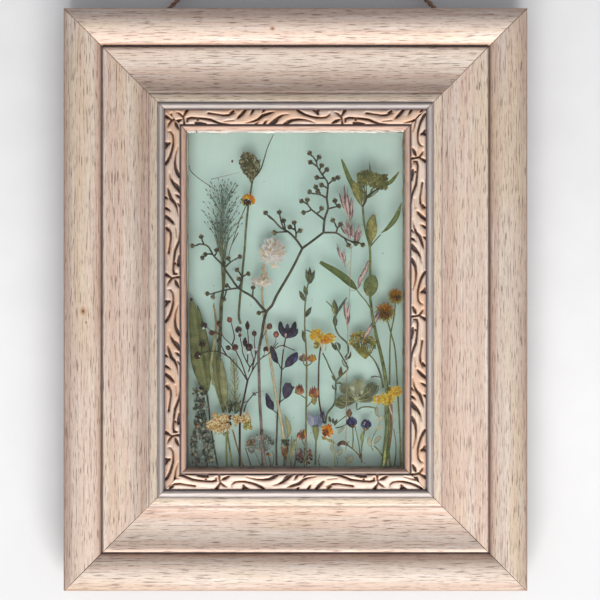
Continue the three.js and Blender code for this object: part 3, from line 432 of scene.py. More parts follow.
def rail(name, length, corner, turn, phase, seed, material):
    """One mitred length: turn is its direction in quarter turns, phase where the scroll's cross falls."""
    rows = section()
    stations = int((length - 2 * BAND_START) / 0.34)
    d = np.array([r[0] for r in rows])
    h = np.array([r[1] for r in rows])
    in_band = np.array([r[2] for r in rows])[:, None]
    f = np.linspace(0, 1, stations + 1)
    along = (d + MITRE_GAP)[:, None] + f[None, :] * (length - 2 * (d + MITRE_GAP))[:, None]
    across = np.repeat(d[:, None], stations + 1, 1)
    height = np.repeat(h[:, None], stations + 1, 1)

    depth, nearest = carved(along - phase, across - BAND_START)
    height = height + in_band * (swelling(along - phase, across - BAND_START, nearest) - 0.3 - 0.8 * depth)
    to_mitre = np.minimum(along - across, length - along - across) * math.sqrt(0.5)
    cuts = np.maximum(depth * in_band, np.clip(1 - to_mitre / 0.3, 0, 1) * 0.7)
    haze = np.exp(-nearest / 0.45) * in_band
    front = np.arange(len(rows)) < len(rows) - len(REST)
    wobble = np.sin(along * 0.11 + seed) * 0.03 + np.sin(along * 0.043 + 2 * seed) * 0.05
    height = height + wobble * front[:, None] * np.clip(across / 3, 0, 1)
    bare = np.where(np.arange(len(rows)) >= len(rows) - len(REST) + 2, 1.0, 0.0)
    bare[-5:] = 0.0

    bm = bmesh.new()
    grain = bm.verts.layers.float_vector.new("grain")
    layers = [(bm.verts.layers.float.new("cuts"), cuts), (bm.verts.layers.float.new("haze"), haze)]
    bare_layer = bm.verts.layers.float.new("bare")
    bmesh.ops.create_grid(bm, x_segments=stations, y_segments=len(rows) - 1, size=1)
    turns = [(1, 0), (0, 1), (-1, 0), (0, -1)][turn]
    bm.verts.ensure_lookup_table()
    for index, vert in enumerate(bm.verts):
        row, column = divmod(index, stations + 1)
        t, a = along[row, column], across[row, column]
        x = corner[0] + t * turns[0] - a * turns[1]
        y = corner[1] + t * turns[1] + a * turns[0]
        vert.co = place(x, y, height[row, column])
        side = SIDE_H - height[row, column] if row >= len(rows) - 5 else 0.0
        vert[grain] = (t + seed * 317.0, a - side, seed * 11.0)
        for layer, values in layers:
            vert[layer] = values[row, column]
        vert[bare_layer] = bare[row]
    bmesh.ops.remove_doubles(bm, verts=bm.verts, dist=1e-7)
    ends = [e for e in bm.edges if e.is_boundary]
    bmesh.ops.holes_fill(bm, edges=ends, sides=0)
    bmesh.ops.recalc_face_normals(bm, faces=bm.faces)
    return piece(f"moulding_{name}", bm, material, [f"rail_{name}"])


def moulding():
    """Four mitred rails, each with its own phase of the scroll."""
    material = limed_oak()
    rail("bottom", FRAME_W, (0, 0), 0, 65.9, 1, material)
    rail("right", FRAME_H, (FRAME_W, 0), 1, 49.6, 2, material)
    rail("top", FRAME_W, (FRAME_W, FRAME_H), 2, 78.3, 3, material)
    rail("left", FRAME_H, (0, FRAME_H), 3, 47.1, 4, material)


# Board and clear casting
def mint_paint():
    """Matt mint emulsion brushed on fibreboard: soft uneven mint, paler where it is thin, with painted shade
    along its left edge.
    """
    material, tree, shader, do = new_material("mint_emulsion")
    where = add(tree, "ShaderNodeTexCoord").outputs["Object"]
    cloud = stretched(tree, where, (22, 22, 22), 3.0)
    colour = do("MIX", do("RAMP", cloud, 0.3, 0.7), srgb(0xD2F3EB), srgb(0xDCF8F2))
    brush = stretched(tree, where, (900, 900, 130), 3.0, 0.6)
    colour = do("MIX", do("RAMP", brush, 0.4, 0.7, 0, 0.3), colour, srgb(0xE4FAF6))
    # Painted shade: darker mint along the left edge, where the left lip shades the board
    left = (FRAME_LEFT + RAIL_W) * MM
    painted_edge_shade = do("RAMP", add(tree, "ShaderNodeSeparateXYZ", i0=where).outputs[0], left + 0.006, left, 0, 0.8)
    colour = do("MIX", painted_edge_shade, colour, srgb(0xB4CFC6))
    geometry = add(tree, "ShaderNodeNewGeometry")
    normal = add(tree, "ShaderNodeSeparateXYZ", i0=geometry.outputs["Normal"]).outputs[1]
    fibre = stretched(tree, where, (700, 700, 700), 4.0, 0.7)
    board = do("MIX", fibre, srgb(0x8C6A47), srgb(0xA9835B))
    tree.links.new(do("MIX", do("RAMP", normal, -0.9, -0.5), colour, board), shader.inputs["Base Color"])
    shader.inputs["Roughness"].default_value = 0.75
    bump = add(tree, "ShaderNodeBump", Height=brush, Strength=0.2, Distance=0.0001)
    tree.links.new(bump.outputs[0], shader.inputs["Normal"])
    return material


def clear_epoxy():
    """Clear cast epoxy: water-clear with a trace of yellow, IOR 1.5."""
    material, tree, shader, _ = new_material("clear_epoxy")
    shader.inputs["Base Color"].default_value = srgb(0xFFFFFF)
    shader.inputs["Transmission Weight"].default_value = 1.0
    shader.inputs["IOR"].default_value = 1.5
    shader.inputs["Roughness"].default_value = 0.0
    absorb = add(tree, "ShaderNodeVolumeAbsorption", Color=srgb(0xF4F6E6), Density=4.0)
    tree.links.new(absorb.outputs[0], tree.nodes["Material Output"].inputs["Volume"])
    return material


def casting():
    """The casting's face, flat in the middle, creeping up the wood in an uneven rounded rim."""
    across, up, crowd = 150, 230, 0.75

    def eased(f):
        return f - crowd * math.sin(2 * math.pi * f) / (2 * math.pi)

    bm = bmesh.new()
    bmesh.ops.create_grid(bm, x_segments=across, y_segments=up, size=1)
    for vert in bm.verts:
        u = eased((vert.co.x + 1) / 2) * (SIGHT_W + 0.1) - 0.05
        v = eased((vert.co.y + 1) / 2) * (SIGHT_H + 0.1) - 0.05
        edge = min(u, SIGHT_W - u, v, SIGHT_H - v) + 0.05
        run = u + 2.3 * v
        reach = 1.9 + 0.5 * noise.noise(Vector((run * 0.11, 3, 0))) + 0.3 * noise.noise(Vector((run * 0.4,
            9, 0)))
        rim = 0.19 * max(reach - edge, 0.0) ** 2
        swell = 0.05 * noise.noise(Vector((u * 0.05, v * 0.05, 1)))
        ripple = 0.012 * noise.noise(Vector((u * 0.25, v * 0.25, 5)))
        vert.co = planted(u, v, CAST_FRONT - 0.55 + swell + ripple + rim)
    rim_edges = [e for e in bm.edges if e.is_boundary]
    walls = bmesh.ops.extrude_edge_only(bm, edges=rim_edges)
    back = [g for g in walls["geom"] if isinstance(g, bmesh.types.BMVert)]
    for vert in back:
        vert.co.y = (BACK_Y - 5.65) * MM
    bmesh.ops.holes_fill(bm, edges=[e for e in bm.edges if e.is_boundary], sides=0)
    bmesh.ops.recalc_face_normals(bm, faces=bm.faces)
    piece("clear_casting", bm, clear_epoxy(), ["resin_back", "resin_front"])


def board():
    """The board keeps its CAD mesh and gets its paint."""
    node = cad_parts["backing_board"]
    node.data.materials.clear()
    node.data.materials.append(mint_paint())


# Fixings on the back, modelled in millimetres in the row frame
def jute():
    """Two-ply brown jute twine: dry matt fibres lying along each ply, paler where they stand proud."""
    material, tree, shader, do = new_material("jute")
    blade = add(tree, "ShaderNodeAttribute", {"attribute_name": "blade"}).outputs["Vector"]
    tone = add(tree, "ShaderNodeAttribute", {"attribute_name": "tone"}).outputs["Fac"]
    fibre = stretched(tree, blade, (2.2, 0.5, 1), 3.0, 0.7)
    patch = stretched(tree, blade, (0.2, 0.12, 1), 2.0)
    value = do("ADD", do("MULTIPLY_ADD", fibre, 1.4, -0.75), do("ADD", tone, patch))
    colour = do("MIX", add(tree, "ShaderNodeClamp", i0=value).outputs[0], srgb(0x49342B), srgb(0x9A7B64))
    tree.links.new(colour, shader.inputs["Base Color"])
    shader.inputs["Roughness"].default_value = 0.9
    shader.inputs["Specular IOR Level"].default_value = 0.2
    shader.inputs["Sheen Weight"].default_value = 0.25
    bump = add(tree, "ShaderNodeBump", Height=fibre, Strength=0.6, Distance=0.0002)
    tree.links.new(bump.outputs[0], shader.inputs["Normal"])
    return material


def zinc_plate():
    """Bright zinc on steel wire and strip: cool grey metal, clouded, with fine drawing scratches."""
    material, tree, shader, do = new_material("zinc_plated_steel")
    where = add(tree, "ShaderNodeTexCoord").outputs["Object"]
    cloud = stretched(tree, where, (500, 500, 500), 3.0, 0.6)
    scratch = stretched(tree, where, (3000, 9000, 900), 2.0, 0.6)
    tree.links.new(do("MIX", cloud, srgb(0x9FA2A6), srgb(0xD2D3D2)), shader.inputs["Base Color"])
    shader.inputs["Metallic"].default_value = 1.0
    tree.links.new(do("RAMP", cloud, 0.3, 0.7, 0.28, 0.46), shader.inputs["Roughness"])
    bump = add(tree, "ShaderNodeBump", Height=scratch, Strength=0.25, Distance=0.00005)
    tree.links.new(bump.outputs[0], shader.inputs["Normal"])
    return material


def tube_mesh():
    """An empty mesh with the attributes that the twine's material reads."""
    bm = bmesh.new()
    bm.verts.layers.float.new("tone")
    bm.verts.layers.float_vector.new("blade")
    return bm


def frames(line):
    """Points of a line with two directions square to it, carried along without twisting."""
    side = Vector((0.1, 1, 0.2))
    for i, point in enumerate(line):
        along = (line[min(i + 1, len(line) - 1)] - line[max(i - 1, 0)]).normalized()
        side = (side - along * side.dot(along)).normalized()
        yield point, side, along.cross(side)


def tube(bm, line, half, sides=8, tone=0.4):
    """A closed round skin along a line of points in millimetres."""
    rows = len(line) + 2
    made = bmesh.ops.create_grid(bm, x_segments=sides, y_segments=rows - 1, size=1)["verts"]
    tones, blades = bm.verts.layers.float["tone"], bm.verts.layers.float_vector["blade"]
    rings = list(frames(line))
    length = 0.0
    for row in range(rows):
        i = min(max(row - 1, 0), len(line) - 1)
        point, side, up = rings[i]
        wide = half(i / (len(line) - 1)) if 0 < row < rows - 1 else 0.0
        length += (line[i] - line[i - 1]).length if 1 < row < rows - 1 else 0.0
        for column in range(sides + 1):
            turn = 2 * math.pi * column / sides
            vert = made[row * (sides + 1) + column]
            vert.co = (point + (side * math.cos(turn) + up * math.sin(turn)) * wide) * MM
            vert[tones] = tone
            vert[blades] = (math.cos(turn), length, math.sin(turn))


def spaced(points, step):
    """Points of a polyline at even steps."""
    lengths = [0.0]
    for a, b in zip(points, points[1:]):
        lengths.append(lengths[-1] + (b - a).length)
    count = max(2, round(lengths[-1] / step))
    where = [lengths[-1] * i / count for i in range(count + 1)]
    columns = [np.interp(where, lengths, [p[k] for p in points]) for k in range(3)]
    return [Vector(p) for p in zip(*columns)]


def plied(bm, line, radius, pitch, fuzz):
    """Two plies twisted round a line, with a few stray fibres."""
    rings = list(frames(line))
    step = (line[1] - line[0]).length
    for start in (0.0, math.pi):
        ply = []
        for i, (point, side, up) in enumerate(rings):
            turn = start + 2 * math.pi * i * step / pitch
            ply.append(point + (side * math.cos(turn) + up * math.sin(turn)) * radius * 0.47)
        tube(bm, ply, lambda t: radius * 0.56)
    for _ in range(fuzz):
        i = rng.randrange(1, len(rings) - 4)
        point, side, up = rings[i]
        turn = draw(0, 2 * math.pi)
        out = side * math.cos(turn) + up * math.sin(turn)
        ahead = (rings[i + 3][0] - point).normalized() * draw(0.6, 2.2)
        start = point + out * radius * 0.9
        fibre = [start, start + out * 0.25 + ahead * 0.5, start + out * draw(0.3, 0.9) + ahead]
        tube(bm, fibre, lambda t: 0.06 * (1 - 0.6 * t), 3, 0.9)


def close_tubes(name, bm, material, nodes):
    """Welds the seams of tubes and makes them a piece."""
    bmesh.ops.remove_doubles(bm, verts=bm.verts, dist=1e-7)
    bmesh.ops.recalc_face_normals(bm, faces=bm.faces)
    return piece(name, bm, material, nodes)


def twine_route():
    """The twine's route, as in the part: from behind the left eye, over the nail, to behind the right eye."""
    behind = KNOT_R + 0.3
    foot = Vector((-EYE_X - behind * math.cos(PULL), 0, EYE_Z - behind * math.sin(PULL)))
    bend_z = NAIL_R + TWINE_R - BEND_R
    route = [foot]
    for i in range(7):
        around = math.pi / 2 + PULL * (1 - i / 3)
        route.append(Vector((BEND_R * math.cos(around), 0, bend_z + BEND_R * math.sin(around))))
    route.append(Vector((-foot.x, 0, foot.z)))
    return route


def twine():
    """The twine, its knots behind the eyes and their frayed ends, as one cord."""
    material = jute()
    for name, side in (("left", -1), ("right", 1)):
        reach = 2 * KNOT_R + 0.6
        middle = Vector((side * (EYE_X + reach * math.cos(PULL)), 0, EYE_Z - reach * math.sin(PULL)))
        pull = Vector((-side * math.cos(PULL), 0, math.sin(PULL)))
        flank = Vector((0, 1, 0)).cross(pull)
        loops = []
        for i in range(61):
            t = 2 * math.pi * i / 60 + 0.5
            a, b, c = math.sin(t) + 2 * math.sin(2 * t), math.cos(t) - 2 * math.cos(2 * t), -math.sin(3 * t)
            loops.append(middle + (flank * a + Vector((0, 1, 0)) * b * 0.92 + pull * c * 1.5) * 0.5)
        bm = tube_mesh()
        plied(bm, loops, 0.95, 4.5, 40)
        way = Vector((side * 0.39, 0, -0.92))
        tail = spaced([middle, middle + way * 3.5, middle + way * 6.4 + Vector((side * 0.2, 0, 0))], 0.5)
        plied(bm, tail, 0.85, 5.2, 16)
        for _ in range(26):
            start = middle + way * 6.0 + Vector((draw(-0.5, 0.5), draw(-0.5, 0.5), draw(-0.3, 0.3)))
            end = start + way * draw(0.6, 1.6) + Vector((draw(-0.5, 0.5), draw(-0.5, 0.5), 0))
            tube(bm, [start, (start + end) / 2, end], lambda t: 0.11 * (1 - 0.5 * t), 4, 0.8)
        close_tubes(f"stopper_knot_{name}", bm, material, [f"knot_{name}"])
    route = twine_route()
    bm = tube_mesh()
    plied(bm, spaced(route, 0.5), TWINE_R, 5.2, 420)
    cord = close_tubes("jute_twine", bm, material, ["twine"])


def fixings():
    """Screw eyes with a threaded shank, and the flat points that hold the board."""
    zinc = zinc_plate()
    for name, side in (("left", -1), ("right", 1)):
        middle = Vector((side * EYE_X, 0, EYE_Z))
        pull = Vector((-side * math.cos(PULL), 0, math.sin(PULL)))
        flank = Vector((0, 1, 0)).cross(pull)
        turns = [math.radians(-96 + 352 * i / 44) for i in range(45)]
        ring = [middle + (Vector((0, math.sin(t), 0)) + flank * math.cos(t)) * RING_R for t in turns]
        bm = tube_mesh()
        tube(bm, ring, lambda t: WIRE_R, 10)
        foot = middle - Vector((0, RING_R, 0))
        shank = spaced([foot, foot - Vector((0, SHANK - 1.2, 0)), foot - Vector((0, SHANK, 0))], 0.4)
        tube(bm, shank, lambda t: (WIRE_R - 0.12) * min(1, 6 * (1.02 - t)), 10)
        thread = []
        for i in range(73):
            turn, drop = i * math.pi / 6, 1.5 + (SHANK - 2.0) * i / 72
            thread.append(foot + Vector((math.cos(turn) * 0.46, -drop, math.sin(turn) * 0.46)))
        tube(bm, thread, lambda t: 0.14, 5)
        close_tubes(f"screw_eye_{name}", bm, zinc, [f"eye_{name}"])
    for edge in ("top", "bottom", "left", "right"):
        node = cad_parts[f"point_{edge}"]
        node.data.materials.clear()
        node.data.materials.append(zinc)


# Plants, modelled in millimetres in the opening: right, up, and toward the viewer
PX, LEFT_PX, FOOT_PX = 0.42, 186.3, 469.6
WANDER = 0.05
growing = {}

# Darkest and lightest colour of each tissue, its slot, how strongly veins show
TISSUES = {
    "spray_bark": (0x1D1C14, 0x4A4634, "dark_stem", 0.0),
    "spray_floret": (0x4C472B, 0xB2A473, "dark_stem", 0.0),
    "lower_bark": (0x3A2C28, 0x826C63, "dark_stem", 0.0),
    "berry_stalk": (0x160D0C, 0x46281F, "dark_stem", 0.0),
    "berry_skin": (0x1A0808, 0x7A3A22, "berry", 0.0),
    "dark_stalk": (0x1C1C15, 0x4C4636, "dark_stem", 0.0),
    "olive_stalk": (0x2E311C, 0x6C6D48, "olive_leaf", 0.0),
    "olive_leaf": (0x33391E, 0x666A3F, "olive_leaf", 0.35),
    "seed_chaff": (0x35331F, 0x7C7552, "olive_leaf", 0.35),
    "herb_stalk": (0x2F371B, 0x758048, "green_leaf", 0.0),
    "herb_leaf": (0x39441F, 0x74804A, "green_leaf", 0.35),
    "herb_flower": (0x454822, 0x938A4C, "green_leaf", 0.3),
    "dark_foliage": (0x20261A, 0x5A6040, "green_leaf", 0.2),
    "scale_foliage": (0x222B22, 0x86937F, "green_leaf", 0.0),
    "plume": (0x33403A, 0x6A7A66, "sage_leaf", 0.0),
    "sage_leaf": (0x454D36, 0x9C9F80, "sage_leaf", 0.5),
    "grey_umbel": (0x3C4136, 0xBEC0B0, "sage_leaf", 0.0),
    "pale_blade": (0x4E5130, 0x8C8A60, "sage_leaf", 0.3),
    "straw_stalk": (0x78643F, 0xCBB890, "straw", 0.0),
    "bunny_hair": (0xC0904E, 0xFFFFFC, "straw", 0.0),
    "mauve_chaff": (0x452D3A, 0xDDAE9C, "straw", 0.35),
    "rust_chaff": (0x5A2A20, 0xB06A4C, "straw", 0.2),
    "orange_petal": (0xB04A06, 0xF59A20, "orange_petal", 0.15),
    "rusty_head": (0x4A2A0C, 0xC98226, "orange_petal", 0.0),
    "yellow_petal": (0xB87A10, 0xF8CE42, "yellow_petal", 0.15),
    "lime_umbel": (0x56561E, 0xBDAA48, "yellow_petal", 0.0),
    "yarrow_floret": (0x96692A, 0xF4D898, "yellow_petal", 0.0),
    "dark_disc": (0x140A12, 0x54361E, "brown_twig", 0.0),
    "brown_twig": (0x2A1C15, 0x80603F, "brown_twig", 0.0),
    "violet_petal": (0x0C0A28, 0x484A74, "violet_petal", 0.2),
    "larkspur_petal": (0x131019, 0x453F54, "violet_petal", 0.2),
    "blue_veil": (0x3C4462, 0x8C94AA, "violet_petal", 0.3),
    # White sheets that stand for glints and reflections: painted highlights
    "trapped_air": (0xB9C4BC, 0xFFFFFF, "straw", 0.0),
}


def soaked(value):
    """Colour that dry tissue needs, to show an sRGB value through the casting, which darkens what it wets."""
    seen = [part / 1.02 for part in srgb(value)[:3]]
    return tuple(min(part / (0.392 + 0.6 * part), 0.95) for part in seen) + (1.0,)


def dried_tissue(name):
    """Dried plant soaked in the casting: matt, deep and uneven in colour, with paler ribs, and painted shade
    at the sides of stalks and edges of blades.
    """
    dark, light, _, vein = TISSUES[name]
    material, tree, shader, do = new_material(name)
    where = add(tree, "ShaderNodeTexCoord").outputs["Object"]
    tone = add(tree, "ShaderNodeAttribute", {"attribute_name": "tone"}).outputs["Fac"]
    blade = add(tree, "ShaderNodeAttribute", {"attribute_name": "blade"}).outputs["Vector"]
    patch = stretched(tree, where, (420, 420, 420), 3.0, 0.6)
    fleck = stretched(tree, where, (1900, 1900, 1900), 2.0, 0.6)
    value = do("MULTIPLY_ADD", patch, 1.7, do("SUBTRACT", tone, 0.85))
    value = do("MULTIPLY_ADD", fleck, 1.0, do("SUBTRACT", value, 0.5))
    split = add(tree, "ShaderNodeSeparateXYZ", i0=blade)
    across = do("ABSOLUTE", split.outputs[0])
    # Painted shade: darker towards the sides of each stalk and the edges of each blade
    value = do("SUBTRACT", value, do("RAMP", across, 0.6, 1.0, -0.08, 0.3))
    if vein:
        slant = do("MULTIPLY_ADD", across, -1.4, split.outputs[1])
        ribs = do("SINE", do("MULTIPLY", slant, 5.2))
        ribs = do("MULTIPLY", do("RAMP", ribs, 0.7, 1.0), do("RAMP", across, 0.95, 0.5))
        midrib = do("RAMP", across, 0.16, 0.04)
        value = do("MULTIPLY_ADD", do("MAXIMUM", ribs, midrib), vein, value)
    clamped = add(tree, "ShaderNodeClamp", i0=value).outputs[0]
    tree.links.new(do("MIX", clamped, soaked(dark), soaked(light)), shader.inputs["Base Color"])
    shader.inputs["Roughness"].default_value = 0.25 if name in ("berry_skin", "trapped_air") else 0.65
    shader.inputs["Specular IOR Level"].default_value = 0.6 if name in ("berry_skin", "trapped_air") else 0.12
    bump = add(tree, "ShaderNodeBump", Height=patch, Strength=0.3, Distance=0.0002)
    tree.links.new(bump.outputs[0], shader.inputs["Normal"])
    return material


def part(node, tissue):
    """The growing mesh of one tissue of one plant."""
    if (node, tissue) not in growing:
        bm = bmesh.new()
        bm.verts.layers.float.new("tone")
        bm.verts.layers.float_vector.new("blade")
        growing[node, tissue] = bm
    return growing[node, tissue]


def at_height(x, y, h):
    """A point of the opening from its place in the photograph in pixels, and its height above the back."""
    return Vector(((x - LEFT_PX) * PX, (FOOT_PX - y) * PX, h))


def at(x, y, layer, lift=0.0):
    """The same on a planting layer, or above it."""
    return at_height(x, y, DEPTH[layer] + lift)


def steps(start, way, *shares):
    """Points at shares of a way."""
    return [start + way * share for share in shares]


def on_disc():
    """A random direction, and a distance from 0 to 1 that fills a disc evenly."""
    return draw(0, 2 * math.pi), rng.random() ** 0.5


def run(points, layer, step=1.3):
    """A smooth line through points; a third number lifts a point off its planting layer."""
    knots = [at(p[0], p[1], layer, p[2] if len(p) > 2 else 0.0) for p in points]
    ends = [2 * knots[0] - knots[1]] + knots + [2 * knots[-1] - knots[-2]]
    line = [knots[0].copy()]
    for a, b, c, d in zip(ends, ends[1:], ends[2:], ends[3:]):
        count = max(1, round((c - b).length / step))
        for i in range(1, count + 1):
            t = i / count
            curve = 2 * b + (c - a) * t + (2 * a - 5 * b + 4 * c - d) * t * t + (3 * b - a - 3 * c
                + d) * t ** 3
            line.append(curve * 0.5)
    shift = Vector((rng.random() * 90, 0, 0))
    return [p + noise.noise_vector(p * 0.4 + shift) * WANDER for p in line]


def taper(foot, tip):
    """Half width of a stalk, from its width in pixels at foot and tip."""
    return lambda t: (foot + (tip - foot) * t) * PX / 2


def leafy(width, belly=0.45, power=0.85):
    """Half width of a leaf, widest at belly, from its width in pixels."""
    skew = math.log(0.5) / math.log(belly)
    return lambda t: max(math.sin(math.pi * min(max(t, 0.004), 0.996) ** skew), 0.0) ** power * width * PX / 2


def petal(width):
    """Half width of a petal, narrow at its foot and full near its tip."""
    return lambda t: (0.18 + 0.82 * t ** 0.8) * max(1 - t ** 5, 0.03) ** 0.5 * width * PX / 2


def widths(*values):
    """Half width read off evenly spaced widths in pixels."""
    return lambda t: float(np.interp(t * (len(values) - 1), range(len(values)), values)) * PX / 2


def grow(node, tissue, line, half, sides=6, flat=1.0, fold=0.0, wave=0.0, tone=0.4, roll=0.0):
    """A closed skin round a line: a stalk, or where it is flat a leaf, folded at its midrib and waved."""
    bm = part(node, tissue)
    rows = len(line) + 2
    made = bmesh.ops.create_grid(bm, x_segments=sides, y_segments=rows - 1, size=1)["verts"]
    tones, blades = bm.verts.layers.float["tone"], bm.verts.layers.float_vector["blade"]
    seed, length = rng.random() * 40, 0.0
    for row in range(rows):
        i = min(max(row - 1, 0), len(line) - 1)
        t = i / max(len(line) - 1, 1)
        before, after = line[max(i - 1, 0)], line[min(i + 1, len(line) - 1)]
        tangent = (after - before).normalized()
        side = tangent.cross(Vector((0, 0, 1)))
        side = side.normalized() if side.length > 0.05 else Vector((1, 0, 0))
        up = side.cross(tangent)
        if roll:
            turned = Matrix.Rotation(roll, 3, tangent)
            side, up = turned @ side, turned @ up
        wide = half(t) if 0 < row < rows - 1 else 0.0
        if i and row < rows - 1:
            length += (line[i] - line[i - 1]).length
        ripple = math.sin(length * 1.9 + seed) * wave + math.sin(length * 3.3 + 2 * seed) * wave * 0.5
        for column in range(sides + 1):
            turn = 2 * math.pi * column / sides
            out = math.cos(turn)
            lift = math.sin(turn) * flat * wide + abs(out) * fold * wide + out * ripple * wide
            vert = made[row * (sides + 1) + column]
            vert.co = line[i] + side * (out * wide) + up * lift
            vert[tones] = tone
            vert[blades] = (out, length, seed)


def stalk(node, tissue, points, layer, foot, tip, tone=0.35, sides=6):
    """A round stalk along a smooth line."""
    line = run(points, layer)
    grow(node, tissue, line, taper(foot, tip), sides, tone=tone)


def leaf(node, tissue, points, layer, half, fold, wave, tone, flat=0.12, sides=10, step=0.7):
    """A blade along a smooth line; fold lifts its edges, wave ripples them."""
    grow(node, tissue, run(points, layer, step), half, sides, flat, fold, wave, tone)


def hair(node, tissue, a, b, radius, tone=0.5, bow=0.15):
    """A bristle or thin pedicel between two points, bowed a little."""
    middle = (a + b) / 2 + Vector((draw(-1, 1), draw(-1, 1), draw(-0.5, 0.5))) * (b - a).length * bow
    grow(node, tissue, [a, middle, b], lambda t: radius * (1 - 0.7 * t), 3, tone=tone)


def ball(node, tissue, centre, radius, squash=(1, 1, 0.8), tone=0.5, rough=0.1, detail=2):
    """A berry, seed or lump, slightly uneven."""
    bm = part(node, tissue)
    made = bmesh.ops.create_icosphere(bm, subdivisions=detail, radius=radius)["verts"]
    tones, blades = bm.verts.layers.float["tone"], bm.verts.layers.float_vector["blade"]
    seed = rng.random() * 60
    for vert in made:
        swell = 1 + rough * noise.noise(vert.co / radius * 1.3 + Vector((seed, 0, 0)))
        vert.co = Vector((vert.co[k] * squash[k] * swell for k in range(3))) + centre
        vert[tones] = tone
        vert[blades] = (0.5, 0.0, seed)


def cup_bud(node, x0, y0, x1, y1, layer, size=1.0, foot=2.0):
    """A dark cup on a twig, with pale withered florets in its mouth."""
    bend = (draw(-0.8, 0.8), draw(-0.8, 0.8))
    line = run([(x0, y0), ((x0 + x1) / 2 + bend[0], (y0 + y1) / 2 + bend[1]), (x1, y1)], layer, 0.9)
    grow(node, "spray_bark", line, taper(foot, 1.5), 5, tone=0.25)
    axis = (line[-1] - line[-2]).normalized()
    axis = (axis + Vector((0, 0, draw(-0.1, 0.35)))).normalized()
    tip = line[-1]
    reach = 1.25 * size
    cup = [tip + axis * reach * k for k in (-0.5, -0.2, 0.1, 0.45, 0.8)]
    grow(node, "spray_bark", cup, widths(1.8, 3.6 * size, 5.0 * size, 5.2 * size, 3.9 * size), 8, tone=0.3)
    for _ in range(7):
        lean = Vector((draw(-1, 1), draw(-1, 1), draw(-0.6, 0.8))) * 0.75
        way = (axis + lean).normalized()
        start = tip + axis * reach * 0.45
        line = [start, start + way * 0.55 * size, start + way * draw(0.8, 1.35) * size]
        grow(node, "spray_floret", line, petal(2.0 * size), 5, 0.3, tone=draw(0.0, 0.8), roll=rng.random())


def spray():
    """The dark branching spray across the middle."""
    node = "spray_stem"
    stalk(node, "lower_bark", [(265.4, 467), (264, 456), (262, 434), (260, 401), (259.5, 380), (259, 356),
        (260, 346)], 5, 3.0, 2.7)
    stalk(node, "spray_bark", [(260, 346), (262, 336), (264, 323), (267.4, 312), (272, 307), (278, 294.6),
        (289, 276), (295, 265), (302.6, 249.3)], 5, 2.8, 2.4)
    node = "spray_left_limb"
    stalk(node, "spray_bark", [(302.6, 249.3), (296, 240), (289, 233), (281, 228.6), (274, 221),
        (269, 216.5)], 5, 2.3, 1.6)
    stalk(node, "spray_bark", [(296, 240), (296.4, 234), (295.2, 229)], 5, 1.9, 1.5)
    for twig in (
        (274, 221, 266.5, 214.5), (284, 230, 279.8, 214), (285.5, 231, 284, 222.5),
        (288, 232.5, 275.5, 233.5), (295.2, 230, 294.6, 224.5), (295.6, 231, 290.8, 228.4),
        (296.2, 235, 299.6, 232),
    ):
        cup_bud(node, *twig, 5)
    node = "spray_right_limb"
    for line, *form in (
        ([(302.6, 249.3), (310, 244), (323.9, 233.5)], 2.5, 2.2),
        ([(323.9, 233.5), (325, 220), (328.3, 209.8), (327.2, 199), (328.3, 185), (324.3, 178),
            (320.3, 172), (317.4, 166.7), (316.8, 162.7), (313.4, 157.6)], 2.4, 1.4),
        ([(323.9, 233.5), (336.5, 233.8), (341.5, 237), (350, 241.8), (356, 243)], 2.1, 1.5),
        ([(325, 221), (317.4, 215), (311.7, 210.4), (307.7, 205)], 2.0, 1.5),
        ([(327.2, 199), (320.3, 195.4), (314, 194.6)], 2.0, 1.4),
        ([(336.5, 233.8), (337.8, 229.5), (336, 226)], 1.9, 1.5),
    ):
        stalk(node, "spray_bark", line, 5, *form)
    for twig in (
        (313.4, 157.6, 310.4, 154.8), (316.4, 162.3, 319, 158.6), (317.2, 167.5, 311.4, 163.6),
        (319.5, 171.5, 321.6, 167.2), (322.8, 175.5, 326.6, 171.2), (324.6, 179, 318, 178.6),
        (328.3, 185.2, 333.4, 180.8), (333, 181.6, 337.4, 179), (327.8, 189.5, 322.6, 186.4),
        (320, 195.2, 316.6, 188.6), (320.4, 195.4, 318.6, 192.4), (315, 194.6, 310.6, 193.2),
        (328.3, 209.8, 338.6, 207.2), (338, 207.4, 335.6, 202.6), (308, 205.4, 302.6, 202.4),
        (308, 205.4, 307.6, 201.8), (311.7, 210.4, 304.8, 213.4), (316.6, 214.4, 321.4, 210.2),
        (336.6, 227.5, 333.6, 222), (337.4, 229, 340.4, 226), (345, 239, 348.4, 245.4),
        (351, 242, 355.6, 244.4), (355, 243, 362.4, 245.4),
    ):
        cup_bud(node, *twig, 5)
    node = "spray_low_limb"
    for line, *form in (
        ([(267, 313), (261, 307), (253, 298), (239, 289.2), (231, 278.6), (227, 273), (222, 265),
            (213.7, 256.3), (209, 248), (204, 245.4), (199, 245)], 2.5, 1.5),
        ([(239, 289), (227, 290.7), (213.6, 294.3)], 1.9, 1.3),
        ([(239, 289), (241.6, 283), (242.6, 277)], 1.9, 1.4),
        ([(226, 268), (230.4, 263.4), (236, 260)], 1.8, 1.3),
    ):
        stalk(node, "spray_bark", line, 5, *form)
    for twig in (
        (199.5, 245, 193.4, 246.8), (204, 245.4, 201.8, 238.6), (213, 255.6, 206.4, 255.4),
        (207.4, 255.6, 203.2, 258.4), (214.6, 257, 216.8, 252), (235, 260.4, 239.6, 258),
        (230.8, 263.4, 229, 260), (242.2, 278.6, 237.8, 271.4), (242.4, 278, 248, 275),
        (241.6, 283, 239.6, 280.6), (253, 298, 253.4, 289.4), (227, 290.7, 224.4, 299.4),
        (215, 294, 208.4, 294.8), (215, 294, 213.4, 297.4), (231, 290, 227.6, 287), (266, 313, 260, 313.8),
    ):
        cup_bud(node, *twig, 5, 0.95)


